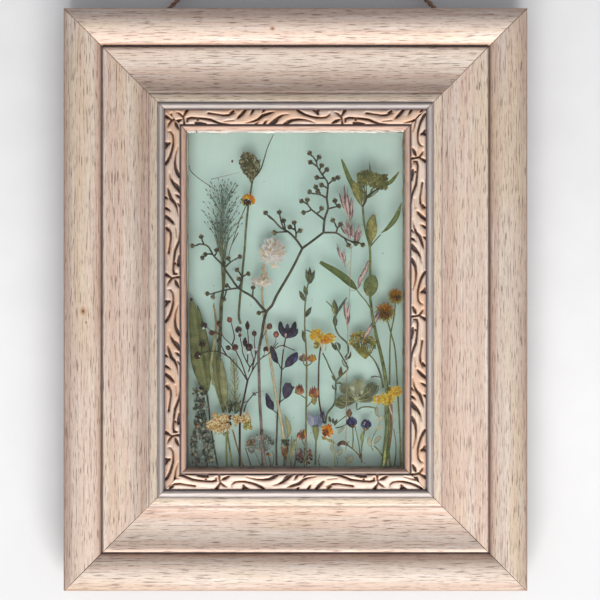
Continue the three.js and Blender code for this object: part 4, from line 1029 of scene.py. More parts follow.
def berry(node, x0, y0, x1, y1, size=1.0, tone=0.4):
    """A berry on its pedicel, with the dry stub of its flower on top."""
    layer = 4
    start, end = at(x0, y0, layer), at(x1, y1, layer, draw(-0.3, 0.5))
    hair(node, "berry_stalk", start, end, 0.26, 0.3, 0.12)
    ball(node, "berry_skin", end, 1.25 * size, (1, 1.08, 0.85), tone, 0.12, 3)
    way = (end - start).normalized()
    for turn in range(3):
        lean = Vector((math.cos(turn * 2.1), math.sin(turn * 2.1), 0.5)) * 0.5
        hair(node, "berry_stalk", end + way * 1.0 * size, end + way * 1.6 * size + lean * 0.7, 0.17, 0.3)


def berries():
    """Bare stalks with dark berries, in the left half."""
    stalk("berry_stem", "berry_stalk", [(240, 468), (240, 445), (240, 427, -1.4), (241, 413, -1.4),
        (242.7, 406, -0.6), (245.2, 394.7), (247.8, 382)], 4, 2.3, 1.9)
    node = "berry_left_limb"
    for line in (
        [(247.8, 382), (240.3, 370.5), (232, 361), (227, 357), (218, 352.5), (208, 352.6), (202, 354.6)],
        [(247.8, 382), (241, 362), (238, 356), (235, 350), (229, 343.5), (223, 337), (221, 329)],
        [(223, 337), (217, 334), (211, 332)], [(232, 346), (234.5, 340), (234, 334), (231.5, 324)],
        [(227, 357), (223, 350), (221, 345)],
    ):
        stalk(node, "berry_stalk", line, 4, 1.6, 0.9, 0.3, 5)
    for line in (
        (211, 332, 204.5, 326.5, 1.0), (219, 334.6, 212, 333.9, 0.85), (221, 329, 219.7, 324.8, 0.95),
        (234, 351, 228.5, 348.8, 0.8), (238, 356, 235.3, 348.5, 1.08), (203, 354.4, 197.8, 356.5, 1.1),
        (221, 345, 219, 342, 0.7),
    ):
        berry(node, *line[:4], line[4], draw(-0.2, 0.25))
    berry(node, 231.5, 324, 229.8, 320.8, 0.9, 0.65)
    ball(node, "dark_disc", at(202.5, 345.5, 4, -0.6), 1.1, (1.3, 1, 0.4), 0.1, 0.4)
    node = "berry_right_limb"
    for line in (
        [(247.8, 382), (252.6, 371.8), (260, 360.7), (269.6, 354), (278, 344)],
        [(252.6, 371.8), (253.9, 363.6), (258, 350), (263, 338)], [(256, 356), (254.6, 345), (255, 338)],
        [(248.5, 373), (250, 368.5), (247.5, 364), (245, 359), (242.5, 352.5), (242.5, 349), (240.5, 340)],
        [(250, 368.5), (253.3, 363.6), (253.5, 359), (251.5, 354)],
        [(247.5, 364), (248.6, 345), (247.8, 330)],
    ):
        stalk(node, "berry_stalk", line, 4, 1.5, 0.9, 0.3, 5)
    for line in (
        (262.6, 339, 269.8, 327.5, 1.0), (240.8, 341, 240.2, 336.4, 0.6), (262.3, 359, 266, 350.6, 0.9),
        (255, 338, 254.6, 334.6, 0.85), (240.6, 338, 238.8, 330.8, 1.08), (251.5, 354, 249.4, 348.3, 1.25),
    ):
        berry(node, *line[:4], line[4], draw(-0.2, 0.25))
    berry(node, 272, 351, 276.4, 335.5, 1.0, 0.5)
    for x0, y0, x1, y1 in ((247.8, 331.5, 247.6, 321.5), (245, 348, 245.4, 338)):
        closed_bud(node, x0, y0, x1, y1, 4, 4.4, 0.2, "berry_stalk")


def button_flower():
    """Small composite flower with a dark disc, and a close oval head of seeds higher up the same stalk."""
    node, layer = "button_flower", 3
    stalk(node, "olive_stalk", [(241, 325), (239, 315), (242, 283), (243, 269), (245, 249), (246, 232),
        (248.8, 203.6)], layer, 2.4, 2.0)
    stalk(node, "olive_stalk", [(250, 199), (253, 181), (256, 177), (261.4, 169), (268, 148), (274, 135)],
        layer, 2.0, 0.7, 0.1)
    stalk(node, "olive_stalk", [(246.4, 206.4), (240.5, 220), (236.4, 232), (233, 243), (230, 252),
        (228.6, 262)], layer, 1.1, 0.8, 0.3, 5)
    stalk(node, "dark_stalk", [(238.6, 233.6), (235, 240), (232, 246)], layer, 1.1, 0.8, 0.3, 5)
    centre = at(248.6, 201.2, layer)
    for i in range(30):
        angle = i * 12 + draw(-4, 4)
        turn = math.radians(angle)
        way = Vector((math.cos(turn), math.sin(turn) * 0.95, draw(-0.1, 0.4)))
        reach = draw(2.7, 3.2) if -40 < (angle + 60) % 360 - 60 < 160 else draw(2.0, 2.6)
        reach += 0.7 if 165 < angle < 235 else 0.0
        line = [centre + way * reach * k for k in (0.3, 0.6, 0.8, 1.0)]
        tissue = "orange_petal" if 325 < angle or angle < 155 else "lime_umbel"
        grow(node, tissue, line, petal(3.2), 6, 0.25, 0.2, tone=draw(0.1, 0.9), roll=draw(-0.4, 0.4))
    for i in range(16):
        turn = math.radians(20 + i * 8)
        way = Vector((math.cos(turn), math.sin(turn) * 0.9, 0.3))
        line = [centre + way * 2.2 * k + Vector((0, 0, 0.6)) for k in (0.3, 0.6, 0.8, 1.0)]
        grow(node, "orange_petal", line, petal(3.0), 6, 0.25, 0.2, tone=draw(0.0, 0.9), roll=draw(-0.4, 0.4))
    disc = at(247.2, 203.2, layer, 1.1)
    for _ in range(60):
        turn, out = draw(0, 2 * math.pi), draw(0, 1) ** 0.5 * 1.5
        spot = disc + Vector((math.cos(turn) * out * 1.1, math.sin(turn) * out * 0.85, -0.15 * out * out))
        ball(node, "dark_disc", spot, draw(0.26, 0.38), (1, 1, 1), draw(-0.5, 0.35), 0.2, 1)
    ball(node, "seed_chaff", at(250, 167, layer), 2.2, (1.1, 2.0, 0.4), -0.1, 0.3)
    for _ in range(280):
        y = draw(154, 181.5)
        half = float(np.interp(y, (152, 155, 159, 164, 169, 174, 178, 181),
            (1.8, 4.4, 8.6, 10, 9.4, 6.4, 3.2, 1.2)))
        x = float(np.interp(y, (152, 160, 170, 181), (246.4, 249.4, 250.4, 251.6))) + draw(-1, 1) * half
        spot = at(x, y, layer, draw(-0.6, 0.8))
        lean = (spot - at(251.6, 184, layer)).normalized() + Vector((draw(-0.5, 0.5), draw(-0.2, 0.4), 0.1))
        way = lean.normalized() * draw(0.9, 1.4)
        line = steps(spot, way, -0.5, -0.1, 0.3, 0.5)
        grow(node, "seed_chaff", line, leafy(draw(1.8, 2.7), 0.5, 0.6), 6, 0.7, tone=draw(-0.4, 1.2))
    for x in (247, 250, 253):
        stalk(node, "olive_stalk", [(251.6, 184), ((x + 251) / 2, 174), (x - 1, 163)], layer, 1.3, 0.8, 0.1,
            5)
    stalk(node, "olive_stalk", [(252.8, 181), (258.4, 171), (260.6, 160)], layer, 1.2, 0.8, 0.2, 5)
    seed = at(232.5, 162, 2)
    ball(node, "brown_twig", seed, 0.6, (0.8, 1.1, 0.7), 0.3, 0.2)
    hair(node, "olive_stalk", at(211, 180, 2), at(240, 173, 2), 0.16, 0.3, 0.01)


def plume_grass():
    """Grass head of many dark spikelets on branches as fine as hair."""
    node, layer = "plume_grass", 1
    stalk(node, "olive_stalk", [(224, 411), (221, 396), (218, 372), (220, 321), (220.7, 303), (222.8, 290),
        (222.6, 280), (222, 265)], layer, 2.1, 1.6, 0.5)
    stalk(node, "plume", [(222, 265), (221.6, 245), (222, 222), (222.6, 196)], layer, 1.4, 0.6, 0.3)
    stalk(node, "olive_stalk", [(219, 372, 0.4), (221, 330, 0.4), (222.4, 300, 0.4), (224.4, 280, 0.4),
        (224.6, 262, 0.4)], layer, 2.6, 2.4, 0.2)
    for _ in range(16):
        top = draw(214, 232)
        stalk(node, "olive_stalk", [(draw(221.4, 226), 268), ((223.4 + top) / 2, 250),
            (top, draw(222, 240))], layer, 1.0, 0.4, draw(0.1, 0.8), 4)
    foot_y = 262.0
    for _ in range(84):
        rise = rng.random()
        y0 = foot_y - rise * 58
        side = draw(-1, 1)
        top = y0 - draw(24, 44) * (1 - 0.35 * rise)
        top = max(top, 176 + 12 * abs(side))
        reach = (8 + 12 * math.sin(math.pi * min(max((foot_y - top) / 92, 0.05), 0.85))) * side
        start = (222 + side * 0.4, y0)
        end = (222.5 + reach, top)
        line = run([start, (222 + reach * 0.35, y0 - (y0 - top) * 0.45), end], layer, 1.6)
        lift = draw(-0.5, 0.7)
        line = [p + Vector((0, 0, lift * k / len(line))) for k, p in enumerate(line)]
        grow(node, "plume", line, taper(0.6, 0.28), 3, tone=0.5)
        for k in (len(line) - 1, int(len(line) * 0.72), int(len(line) * 0.5)):
            way = (line[k] - line[max(k - 1, 0)]).normalized()
            way = (way + Vector((draw(-0.3, 0.3), 0, 0))).normalized() * draw(1.0, 1.7)
            spikelet = [line[k], line[k] + way * 0.4, line[k] + way * 0.75, line[k] + way]
            grow(node, "plume", spikelet, leafy(1.15), 5, 0.6, tone=draw(-0.5, 0.9))
    stalk(node, "olive_stalk", [(188.6, 166), (191, 172), (200, 180), (214, 189.4)], layer, 0.9, 0.6, 0.3, 4)


def bunny_tail():
    """Hare's-tail grass: a soft cream head of pointed husks and bristles, a lower tuft, and a straw stalk."""
    node, layer = "bunny_tail", 3
    stalk(node, "straw_stalk", [(284.4, 440), (281, 420), (277, 400), (273.4, 379), (270, 356),
        (267.4, 343.6), (266, 333), (264.4, 320.6), (262.5, 300), (262.4, 285)], layer, 3.2, 2.0, 0.5)
    for centre, wide, tall, count, long in (
        ((272.4, 253.6), 5.1, 5.9, 270, 3.0), ((261.6, 283.8), 4.8, 1.5, 120, 2.4),
    ):
        middle = at(*centre, layer)
        ball(node, "bunny_hair", middle, 1.0, (wide * 0.7, tall * 0.72, 0.8), 0.7, 0.25, 3)
        for i in range(count * 2):
            turn, out = draw(0, 2 * math.pi), rng.random() ** 0.6
            spot = Vector((math.cos(turn) * wide * out * 0.8, math.sin(turn) * tall * out * 0.8, 1.2 - out))
            way = Vector((spot.x / wide + 0.1, spot.y / tall * 0.8 + 0.45, draw(-0.1, 0.25)))
            way += Vector((draw(-0.4, 0.4), draw(-0.3, 0.3), 0))
            way = way.normalized() * long * draw(0.5, 1.0)
            start = middle + spot
            end = start + way
            end.z = min(max(end.z, 9.6), 13.3)
            tone = draw(0.2, 2.0) - 0.4 * (1 - out)
            if i % 2:
                hair(node, "bunny_hair", start, end + way * 0.15, draw(0.1, 0.16), tone, 0.12)
            else:
                husk = [start, start * 0.7 + end * 0.3, start * 0.35 + end * 0.65, end]
                grow(node, "bunny_hair", husk, leafy(draw(1.2, 2.1), 0.4), 5, 0.4, 0.25, tone=tone)
    for _ in range(46):
        start = at(draw(261, 266.5), draw(268, 281), layer, draw(0, 0.8))
        way = Vector((draw(-0.1, 0.45), 1, draw(-0.1, 0.2))).normalized() * draw(1.6, 3.2)
        hair(node, "bunny_hair", start, start + way, 0.22, draw(-0.2, 0.9), 0.1)
    leaf(node, "bunny_hair", [(270.4, 265, 0.9), (275.6, 267.6, 1.1), (281.6, 268, 0.9)], layer,
        leafy(3.4, 0.4), 0.25, 0.2, 0.5)


def larkspur():
    """Near-black flower like a small tulip, with withered petals hanging from the same stalk."""
    node, layer = "larkspur", 2
    stalk(node, "dark_stalk", [(277, 467.7), (276.6, 451), (277, 436), (277.9, 414.6), (280, 403),
        (281, 386), (282, 370), (283, 357), (284.5, 347), (286, 338)], layer, 2.0, 1.3, 0.3)
    for tip, wide, lean in (
        ((280.6, 322.2), 5.2, -3.4), ((282.8, 327), 5.0, -2.2), ((288, 324.6), 4.4, 0.2),
        ((285.6, 329), 4.6, -1), ((291.2, 328.6), 4.6, 1.8), ((295.6, 322.4), 5.6, 4.2),
        ((297.8, 329.4), 4.2, 6.0),
    ):
        middle = ((286 + tip[0]) / 2 + lean * 0.5, (339.4 + tip[1]) / 2 + 1, draw(0, 0.7))
        leaf(node, "larkspur_petal", [(286, 339.4), middle, (tip[0], tip[1], draw(-0.3, 0.5))], layer,
             leafy(wide, 0.6, 0.55), 0.3, 0.22, draw(-0.1, 0.45))
    for line, half in (
        ([(278.5, 364.6), (275, 359), (271.2, 347)], widths(1, 5.4, 6.6, 5.4, 1.4)),
        ([(285.4, 368.4), (291, 362), (297.8, 353.6)], widths(1.2, 7.4, 9.2, 7, 1.6)),
        ([(273.6, 411.4), (269.6, 404), (266.6, 394.4)], widths(1.2, 6.4, 8.2, 5.6, 4.4, 1.4)),
        ([(285.2, 400), (287.6, 392), (288.4, 384)], widths(1.4, 6.8, 9.6, 10.4, 8.8, 5.0)),
        ([(289, 391.4), (291.8, 389.4), (294.8, 388.2)], widths(6, 6.4, 3.6, 1.2)),
    ):
        leaf(node, "larkspur_petal", line, layer, half, 0.22, 0.2, draw(0.1, 0.45))
    leaf(node, "violet_petal", [(291, 365, 0.3), (295.6, 361, 0.3), (298, 354, 0.3)], layer,
        leafy(4.2, 0.55), 0.3, 0.1, 0.3)
    for line in (
        [(282, 371), (278.4, 364)], [(282, 371.4), (285.8, 367.6)], [(277.9, 415), (273.4, 411.4)],
        [(280.2, 403.4), (285, 399.6)], [(284, 346.5), (279, 347.5), (274, 351)],
        [(284.5, 346.5), (289, 349), (295.4, 351.6)],
    ):
        stalk(node, "dark_stalk", line, layer, 1.3, 0.9, 0.3, 5)
    ball(node, "mauve_chaff", at(286, 336.4, layer, 0.7), 0.7, (0.6, 1.4, 0.6), 0.5, 0.3)


def left_leaves():
    """Broad dull leaf, pale blades and a narrow leaf at the left edge."""
    leaf("broad_leaf", "olive_leaf", [(205.6, 396), (204, 378), (200.5, 360), (197.6, 340), (194.6, 322),
        (191.6, 303)], 1, widths(3, 12, 18, 19.5, 18, 16, 13, 9, 5), 0.1, 0.05, 0.4, 0.05, 16)
    leaf("broad_leaf", "olive_leaf", [(209, 392, 0.5), (208, 366, 0.6), (203.6, 338, 0.6),
        (197.4, 306, 0.5)], 1, leafy(8.6, 0.5, 0.7), 0.16, 0.06, 0.2, 0.08)
    stalk("broad_leaf", "dark_stalk", [(217.8, 467.6), (214, 448), (211.5, 432), (209.8, 420), (209, 410),
        (207.4, 398), (206, 392)], 1, 1.7, 1.5, 0.4)
    ball("broad_leaf", "dark_disc", at(191.2, 300.8, 1), 0.85, (1, 0.9, 0.6), 0.1, 0.3)
    leaf("blade_leaf", "pale_blade", [(223.4, 414), (217.7, 393), (213.6, 381), (205.4, 361), (202, 351),
        (196.7, 336), (192.7, 316), (188.4, 302)], 0, widths(1.4, 2.8, 3.6, 3.8, 3.6, 3.2, 2.4, 1), 0.3,
        0.1, 0.6)
    leaf("blade_leaf", "olive_leaf", [(224, 414), (221, 400), (217, 380), (214.6, 360), (214, 342)], 0,
         widths(1.8, 4.6, 6.0, 5.4, 2.4), 0.3, 0.1, 0.6)
    leaf("narrow_leaf", "pale_blade", [(213, 386), (211, 369), (212.6, 356.5), (216.4, 329), (215.6, 318),
        (214, 304)], 3, widths(1, 2.6, 3.2, 3.0, 2.4, 1.2), 0.3, 0.1, 0.45)
    leaf("narrow_leaf", "pale_blade", [(226.6, 413, -1.6), (225, 398, -1.6), (223, 380, -1.6),
        (221, 360, -1.8)], 3, widths(1.8, 6.6, 8.6, 7, 2), 0.2, 0.12, 0.2)
    stalk("narrow_leaf", "brown_twig", [(216.8, 330), (215.8, 319), (213.6, 306)], 3, 1.6, 1.2, 0.6)


def scaly_sprigs():
    """Grey-green sprig of close whorls of thick small leaves."""
    node, layer = "cypress_sprig", 3
    for spine, wide in (
        (((199.6, 441), (201.4, 420), (199, 393)), 3.1), (((197, 469), (195.4, 456), (194, 441)), 1.9),
        (((207, 469), (208.4, 452), (205.6, 437)), 2.9), (((194, 441), (196.6, 432), (197, 424)), 1.6),
    ):
        line = run(spine, layer, 2.3)
        grow(node, "brown_twig", line, taper(1.8, 1.2), 5, tone=0.1)
        for point in line[1:]:
            size = wide * draw(0.75, 1.15)
            for _ in range(15):
                side = draw(-1, 1)
                spot = point + Vector((side * size * 0.45, draw(-0.8, 0.8), draw(-0.6, 0.7)))
                way = Vector((side * 0.9, draw(0.1, 1.1), draw(-0.2, 0.4))).normalized() * size * draw(0.45,
                    0.7)
                curl = Vector((-way.y, way.x, 0)) * draw(-0.35, 0.35)
                scale = [spot, spot + way * 0.45, spot + way * 0.8 + curl * 0.5, spot + way + curl]
                kind = "brown_twig" if rng.random() < 0.12 else "scale_foliage"
                grow(node, kind, scale, leafy(draw(2.8, 4.2), 0.5, 0.6), 6, 0.3, 0.3,
                     tone=draw(-0.35, 0.95), roll=draw(-0.6, 0.6))


def floret_cluster(node, layer, centre, wide, tall, count, tissue, disc, size=1.0, lift=0.0):
    """A close cluster of small cupped florets."""
    for _ in range(count):
        turn, out = on_disc()
        spot = at(centre[0] + math.cos(turn) * out * wide, centre[1] + math.sin(turn) * out * tall, layer)
        spot.z += lift + draw(-0.2, 0.9)
        tilt = Vector((math.cos(turn) * out * 0.6, -math.sin(turn) * out * 0.6, 1)).normalized()
        ball(node, disc, spot, 0.42 * size, (1, 1, 0.7), draw(0, 0.9), 0.25, 1)
        count_petals = rng.choice((4, 5, 5))
        for k in range(count_petals):
            angle = 2 * math.pi * (k + draw(-0.2, 0.2)) / count_petals
            way = Vector((math.cos(angle), math.sin(angle), 0)) + tilt * draw(-0.1, 0.5)
            way = way.normalized() * draw(0.8, 1.25) * size
            line = [spot + way * 0.25, spot + way * 0.6, spot + way * 0.9 + tilt * 0.08, spot + way * 1.15]
            grow(node, tissue, line, petal(2.6 * size), 6, 0.25, 0.2, tone=draw(-0.1, 1.1),
                 roll=draw(-0.3, 0.3))


def yarrows():
    """Two flat heads of cream florets at the lower left."""
    for centre, wide, tall, count in (
        ((212.8, 426), 4.6, 4.2, 14), ((216.4, 419.4), 3.2, 4.4, 10), ((226, 419.4), 3.8, 4.2, 11),
        ((222.6, 428), 6.6, 5.0, 22), ((220, 422.6), 4.6, 2.4, 7),
    ):
        floret_cluster("yarrow_left", 4, centre, wide, tall, count, "yarrow_floret", "rusty_head", 1.0)
    for _ in range(26):
        spot = at(draw(226.4, 231.6), draw(417, 428), 4, draw(0, 0.9))
        ball("yarrow_left", "dark_disc", spot, draw(0.3, 0.55), (1, 1, 0.8), draw(-0.3, 0.8), 0.3, 1)
    for centre, wide, tall, count, tissue in (
        ((237.6, 421), 3.6, 4.4, 12, "yarrow_floret"), ((246, 419), 4.8, 4.4, 18, "yarrow_floret"),
        ((247.6, 426.4), 4.4, 3.0, 8, "lime_umbel"),
    ):
        floret_cluster("yarrow_right", 2, centre, wide, tall, count, tissue, "rusty_head", 0.95, 1.3)
    for _ in range(12):
        spot = at(draw(216, 229), draw(430, 433), 4)
        way = Vector((draw(-0.5, 0.5), -1, draw(-0.2, 0.2))).normalized() * draw(1.2, 2.4)
        grow("yarrow_left", "sage_leaf", steps(spot, way, 0, 0.4, 0.8, 1), leafy(2.2), 5, 0.3,
             tone=draw(0.2, 1.0))
    for foot, bend, top in (
        ((227.3, 468.4), (226.8, 450), (226.4, 433)), ((232.8, 468.4), (229.6, 448), (227.6, 434)),
    ):
        stalk("yarrow_left", "herb_stalk", [foot, bend, top], 4, 2.2, 1.8, 0.5)
    stalk("yarrow_right", "straw_stalk", [(243.6, 468.4), (240, 456), (236.6, 445), (232.6, 431)], 2, 1.9,
        1.5, 0.15)
    stalk("yarrow_right", "brown_twig", [(240, 458, 0.5), (236, 444, 0.5), (233.6, 433, 0.5)], 2, 1.0, 0.8,
        0.6)
    for _ in range(44):
        spot = at(draw(225, 241), draw(403.5, 414), 2, draw(-0.6, 0.5))
        way = Vector((draw(-0.8, 0.8), 1, draw(-0.2, 0.3))).normalized() * draw(1.2, 2.8)
        grow("yarrow_right", "dark_foliage", steps(spot, way, -0.5, -0.1, 0.3, 0.5),
             leafy(draw(1.4, 2.4)), 5, 0.4, tone=draw(-0.2, 0.8))


def umbel(node, tissue, layer, foot, centre, wide, tall, rays, tone):
    """Fine curling rays from one point, each with a tuft of seeds."""
    base = at(*foot, layer)
    for i in range(rays):
        turn, out = math.pi * (i + 0.5) / rays, draw(0.55, 1.0)
        tip = at(centre[0] + math.cos(turn) * wide * out, centre[1] - math.sin(turn) * tall * out, layer)
        tip.z += draw(-0.4, 0.8)
        middle = (base + tip) / 2 + Vector((math.cos(turn) * 0.8, -0.3, 0.2))
        grow(node, tissue, [base, middle, tip], taper(0.9, 0.6), 4, tone=tone)
        for _ in range(8):
            way = Vector((draw(-1, 1), draw(-0.7, 1), draw(-0.3, 0.6))).normalized()
            way *= draw(0.7, 1.3)
            curl = Vector((-way.y, way.x, 0)) * rng.choice((-0.5, 0.5))
            line = [tip, tip + way * 0.45, tip + way * 0.8 + curl * 0.25, tip + way + curl * 0.6]
            grow(node, tissue, line, leafy(1.5), 4, 0.5, tone=draw(-0.1, 1.0))


def low_growth():
    """The small plants along the foot of the casting."""
    stalk("spray_stem", "dark_disc", [(261.6, 436.6), (261.9, 433), (262, 430.6)], 5, 2.8, 3.4, 0.2)
    umbel("grey_umbel", "grey_umbel", 1, (262, 455), (262, 445), 12.6, 8.6, 15, 0.3)
    umbel("grey_umbel", "grey_umbel", 1, (252, 455), (251.6, 448), 5.4, 5.0, 8, 0.1)
    for x, y, wide, tissue, count in (
        (251.6, 443.6, 3.4, "brown_twig", 22), (270, 442, 4.6, "scale_foliage", 34),
        (261, 439.6, 4.4, "grey_umbel", 26), (249, 448, 3.0, "scale_foliage", 14),
        (268.6, 456, 2.0, "rusty_head", 6),
    ):
        for _ in range(count):
            spot = at(x + draw(-wide, wide), y + draw(-wide, wide) * 0.7, 1, draw(0, 1.2))
            ball("grey_umbel", tissue, spot, draw(0.3, 0.6), (1, 1, 0.7), draw(-0.2, 1.1), 0.4, 1)
    for line, tissue in (
        ([(262.6, 468.4), (262, 460), (261.6, 453)], "brown_twig"),
        ([(251.4, 468.4), (248, 457), (245.4, 449)], "olive_stalk"),
        ([(261.6, 468.4), (257, 458), (252.6, 449)], "grey_umbel"),
        ([(271, 468.4), (269.8, 461), (268.2, 456)], "brown_twig"),
        ([(260, 453), (256, 450.4), (252, 446.6)], "grey_umbel"),
    ):
        stalk("grey_umbel", tissue, line, 1, 1.5, 1.0, 0.4, 5)
    node = "thistle_bud"
    stalk(node, "brown_twig", [(284.4, 468.4), (284.4, 464), (284.6, 460)], 1, 1.3, 1.3)
    ball(node, "brown_twig", at(285.2, 453.4, 1), 1.15, (1.0, 1.7, 0.6), 0.0, 0.2)
    for _ in range(170):
        y, side = draw(449, 460.6), draw(-1, 1)
        half = float(np.interp(y, (449, 452.5, 457, 461), (2.6, 3.2, 1.8, 0.6)))
        spot = at(285 + side * half, y, 1, draw(0.2, 1.0))
        way = Vector((side * 0.4 + draw(-0.2, 0.2), 1, draw(-0.1, 0.2))).normalized() * draw(0.7, 1.5)
        hair(node, rng.choice(("brown_twig", "brown_twig", "rusty_head")), spot, spot + way, 0.2,
            draw(-0.2, 1.1), 0.12)
    for _ in range(70):
        spot = at(draw(282, 289.4), draw(441, 446.4), 1, draw(0, 0.8))
        way = Vector((draw(-0.8, 0.8), draw(0.2, 1), 0.1)).normalized() * draw(0.6, 1.3)
        hair(node, "dark_foliage", spot - way * 0.5, spot + way * 0.5, 0.22, draw(-0.3, 0.5), 0.1)
    for _ in range(16):
        spot = at(draw(282.6, 287.6), 449.6, 1, draw(0.4, 1.0))
        hair(node, "straw_stalk", spot, spot + Vector((draw(-0.5, 0.5), draw(0.6, 1.4), 0.1)), 0.15, 0.9, 0.1)
    node = "seed_cluster"
    for line in (
        [(305.4, 468.4), (305, 462), (301, 456)], [(305.2, 464), (307.6, 458), (310.4, 453)],
        [(305.2, 463), (305.4, 456), (305, 450)],
    ):
        stalk(node, "brown_twig", line, 2, 1.5, 1.0)
    for _ in range(110):
        turn, out = on_disc()
        spot = at(304.6 + 8.2 * math.cos(turn) * out, 457.6 + 8.6 * math.sin(turn) * out, 2, draw(-0.4, 0.8))
        ball(node, rng.choice(("brown_twig", "berry_skin", "mauve_chaff", "dark_disc", "grey_umbel")), spot,
            draw(0.3, 0.62), (1, 1, 0.8), draw(-0.3, 0.9), 0.5, 1)
        hair(node, "brown_twig", spot, spot + Vector((draw(-1, 1), draw(-0.4, 1), 0.2)), 0.13, 0.5)
    for x, top, bow, wide in (
        (272.6, 452, 1.5, 1.2), (291.6, 437, -1.4, 2.6), (294.6, 441, 1.6, 1.8), (320, 456, -1, 1.2),
        (345.6, 458, 1, 1.2), (395, 430, 1.6, 1.8), (401.6, 440, -1.4, 1.8), (337, 458, 1, 1.0),
    ):
        stalk("grey_umbel", rng.choice(("herb_stalk", "olive_stalk", "pale_blade")),
              [(x, 468.4), (x + bow, (468 + top) / 2), (x - bow * 0.3, top)], 1, wide, 0.8, draw(0.2, 0.7), 5)


def closed_bud(node, x0, y0, x1, y1, layer, wide, tone=0.4, tissue="dark_foliage"):
    """A closed bud of overlapping narrow sepals."""
    for lean in (-1, 0, 1, 0.5, -0.5):
        side = Vector((y1 - y0, x1 - x0, 0)).normalized() * lean * wide * PX * 0.25
        foot, tip = at(x0, y0, layer), at(x1, y1, layer)
        middle = (foot + tip) / 2 + side + Vector((0, 0, 0.25 - 0.2 * abs(lean)))
        end = tip + side * 0.12
        line = [foot, foot * 0.6 + middle * 0.4, middle, middle * 0.45 + end * 0.55, end]
        grow(node, tissue, line, leafy(wide * 0.6, 0.42, 0.9), 6, 0.4, tone=tone + draw(-0.25, 0.3))


def heath():
    """Upright heath stalk with buds, and small withered flowers of coral and olive."""
    node, layer = "heath_stem", 5
    stalk(node, "olive_stalk", [(305.5, 468.4), (306.2, 440), (306.7, 401), (307, 366.5), (306.2, 346),
        (305.2, 331), (305.2, 318), (305.5, 305), (307.4, 290), (309, 283)], layer, 2.2, 1.5, 0.55)
    for bud in (
        (309.6, 285, 306.4, 270, 4.6), (309.8, 284, 310.2, 268, 4.6), (309.8, 285, 315.2, 271, 4.6),
        (310, 285, 311.6, 275, 5.5), (307.2, 297, 304.6, 286.4, 4.4), (305.4, 302.4, 299.6, 291.6, 4.6),
        (305.4, 318.4, 311.8, 307.8, 4.6), (305.4, 343.6, 302.8, 331, 4.0),
    ):
        closed_bud(node, *bud[:4], layer, bud[4], draw(0.0, 0.5))
    for foot, centre, lean, tissue, size in (
        ((307, 368), (303.4, 358), -1, "mauve_chaff", 0.68),
        ((307, 367), (312.4, 359), 1, "rusty_head", 0.62),
        ((306.8, 400), (299.8, 390), -1, "rust_chaff", 0.9),
        ((306.8, 408), (314.4, 393.6), 1, "rust_chaff", 0.9),
        ((305.4, 447), (302.4, 435), -1, "rust_chaff", 0.85),
    ):
        stalk(node, "olive_stalk", [foot, ((foot[0] + centre[0]) / 2 + lean, (foot[1] + centre[1]) / 2 + 2),
            (centre[0], centre[1] + 4)], layer, 1.3, 1.1, 0.4, 5)
        foot = at(centre[0], centre[1] + 7 * size, layer)
        for k in range(15):
            lean_k = (k - 7) / 7
            rise = draw(1, 8.5) * (1 - 0.35 * abs(lean_k)) * size
            tip = at(centre[0] + lean_k * draw(2.4, 4.6) * size, centre[1] - rise, layer)
            middle = (foot + tip) / 2 + Vector((lean_k * 1.1, -0.3, draw(0, 0.6)))
            line = [foot, foot * 0.5 + middle * 0.5, middle, (middle + tip) / 2, tip]
            kind = rng.choice((tissue, tissue, "rust_chaff",
                "rust_chaff")) if k % 3 else rng.choice(("herb_flower", "brown_twig", "rusty_head"))
            grow(node, kind, line, leafy(2.3, 0.62, 0.7), 7, 0.3, 0.35, 0.15, tone=draw(-0.3, 0.8))
    for _ in range(9):
        foot = at(314.6 + draw(-1, 1), 406, layer)
        tip = at(314.4 + draw(-4, 3.6), draw(395, 400), layer, 0.4)
        line = [foot, foot * 0.6 + tip * 0.4 + Vector((0, 0, 0.3)), foot * 0.3 + tip * 0.7, tip]
        grow(node, "herb_flower", line, leafy(2.8), 6, 0.3, 0.2, tone=draw(-0.1, 0.8))


def marigold():
    """Golden head, fuller at the left, with petals hanging below it."""
    node, layer = "marigold", 4
    stalk(node, "brown_twig", [(324.6, 424.6), (321.6, 414), (319.6, 402), (318.8, 388), (319, 374),
        (319.4, 362), (321, 348)], layer, 1.8, 1.5, 0.0)
    for middle, wide, tall, count, reach, tissue in (
        ((317.2, 336.8), 7.6, 6.6, 116, 1.6, "yellow_petal"),
        ((329.6, 339), 6.8, 4.8, 74, 1.4, "yellow_petal"),
        ((325.4, 342.4), 5.4, 2.6, 26, 1.3, "orange_petal"),
        ((317.4, 346.8), 2.6, 3.6, 22, 1.5, "lime_umbel"),
    ):
        centre = at(*middle, layer)
        for _ in range(count):
            angle, out = on_disc()
            spot = centre + Vector((math.cos(angle) * wide * out * PX * 0.8,
                math.sin(angle) * tall * out * PX * 0.8, 1.0 - 0.9 * out))
            way = Vector((math.cos(angle) * out, math.sin(angle) * out * 0.8 + 0.15, draw(0.0, 0.5)))
            way = way.normalized() * reach * draw(0.7, 1.1)
            line = [spot - way * 0.4, spot + way * 0.1, spot + way * 0.4 + Vector((0, 0, 0.1)),
                spot + way * 0.6]
            kind = "orange_petal" if rng.random() < (0.4 if middle[0] > 325 else 0.14) else tissue
            grow(node, kind, line, petal(draw(2.4, 3.6)), 7, 0.2, 0.3, tone=draw(0.0, 1.0) - 0.4 * (1 - out),
                 roll=draw(-0.6, 0.6))
    for foot, tip in (((321.4, 350), (323.4, 342)), ((325.6, 352), (326.2, 343)), ((322, 352), (320, 344))):
        stalk(node, "straw_stalk", [foot, ((foot[0] + tip[0]) / 2 + 0.5, (foot[1] + tip[1]) / 2),
            (*tip, 1.0)], layer, 1.4, 1.0, 0.6, 5)


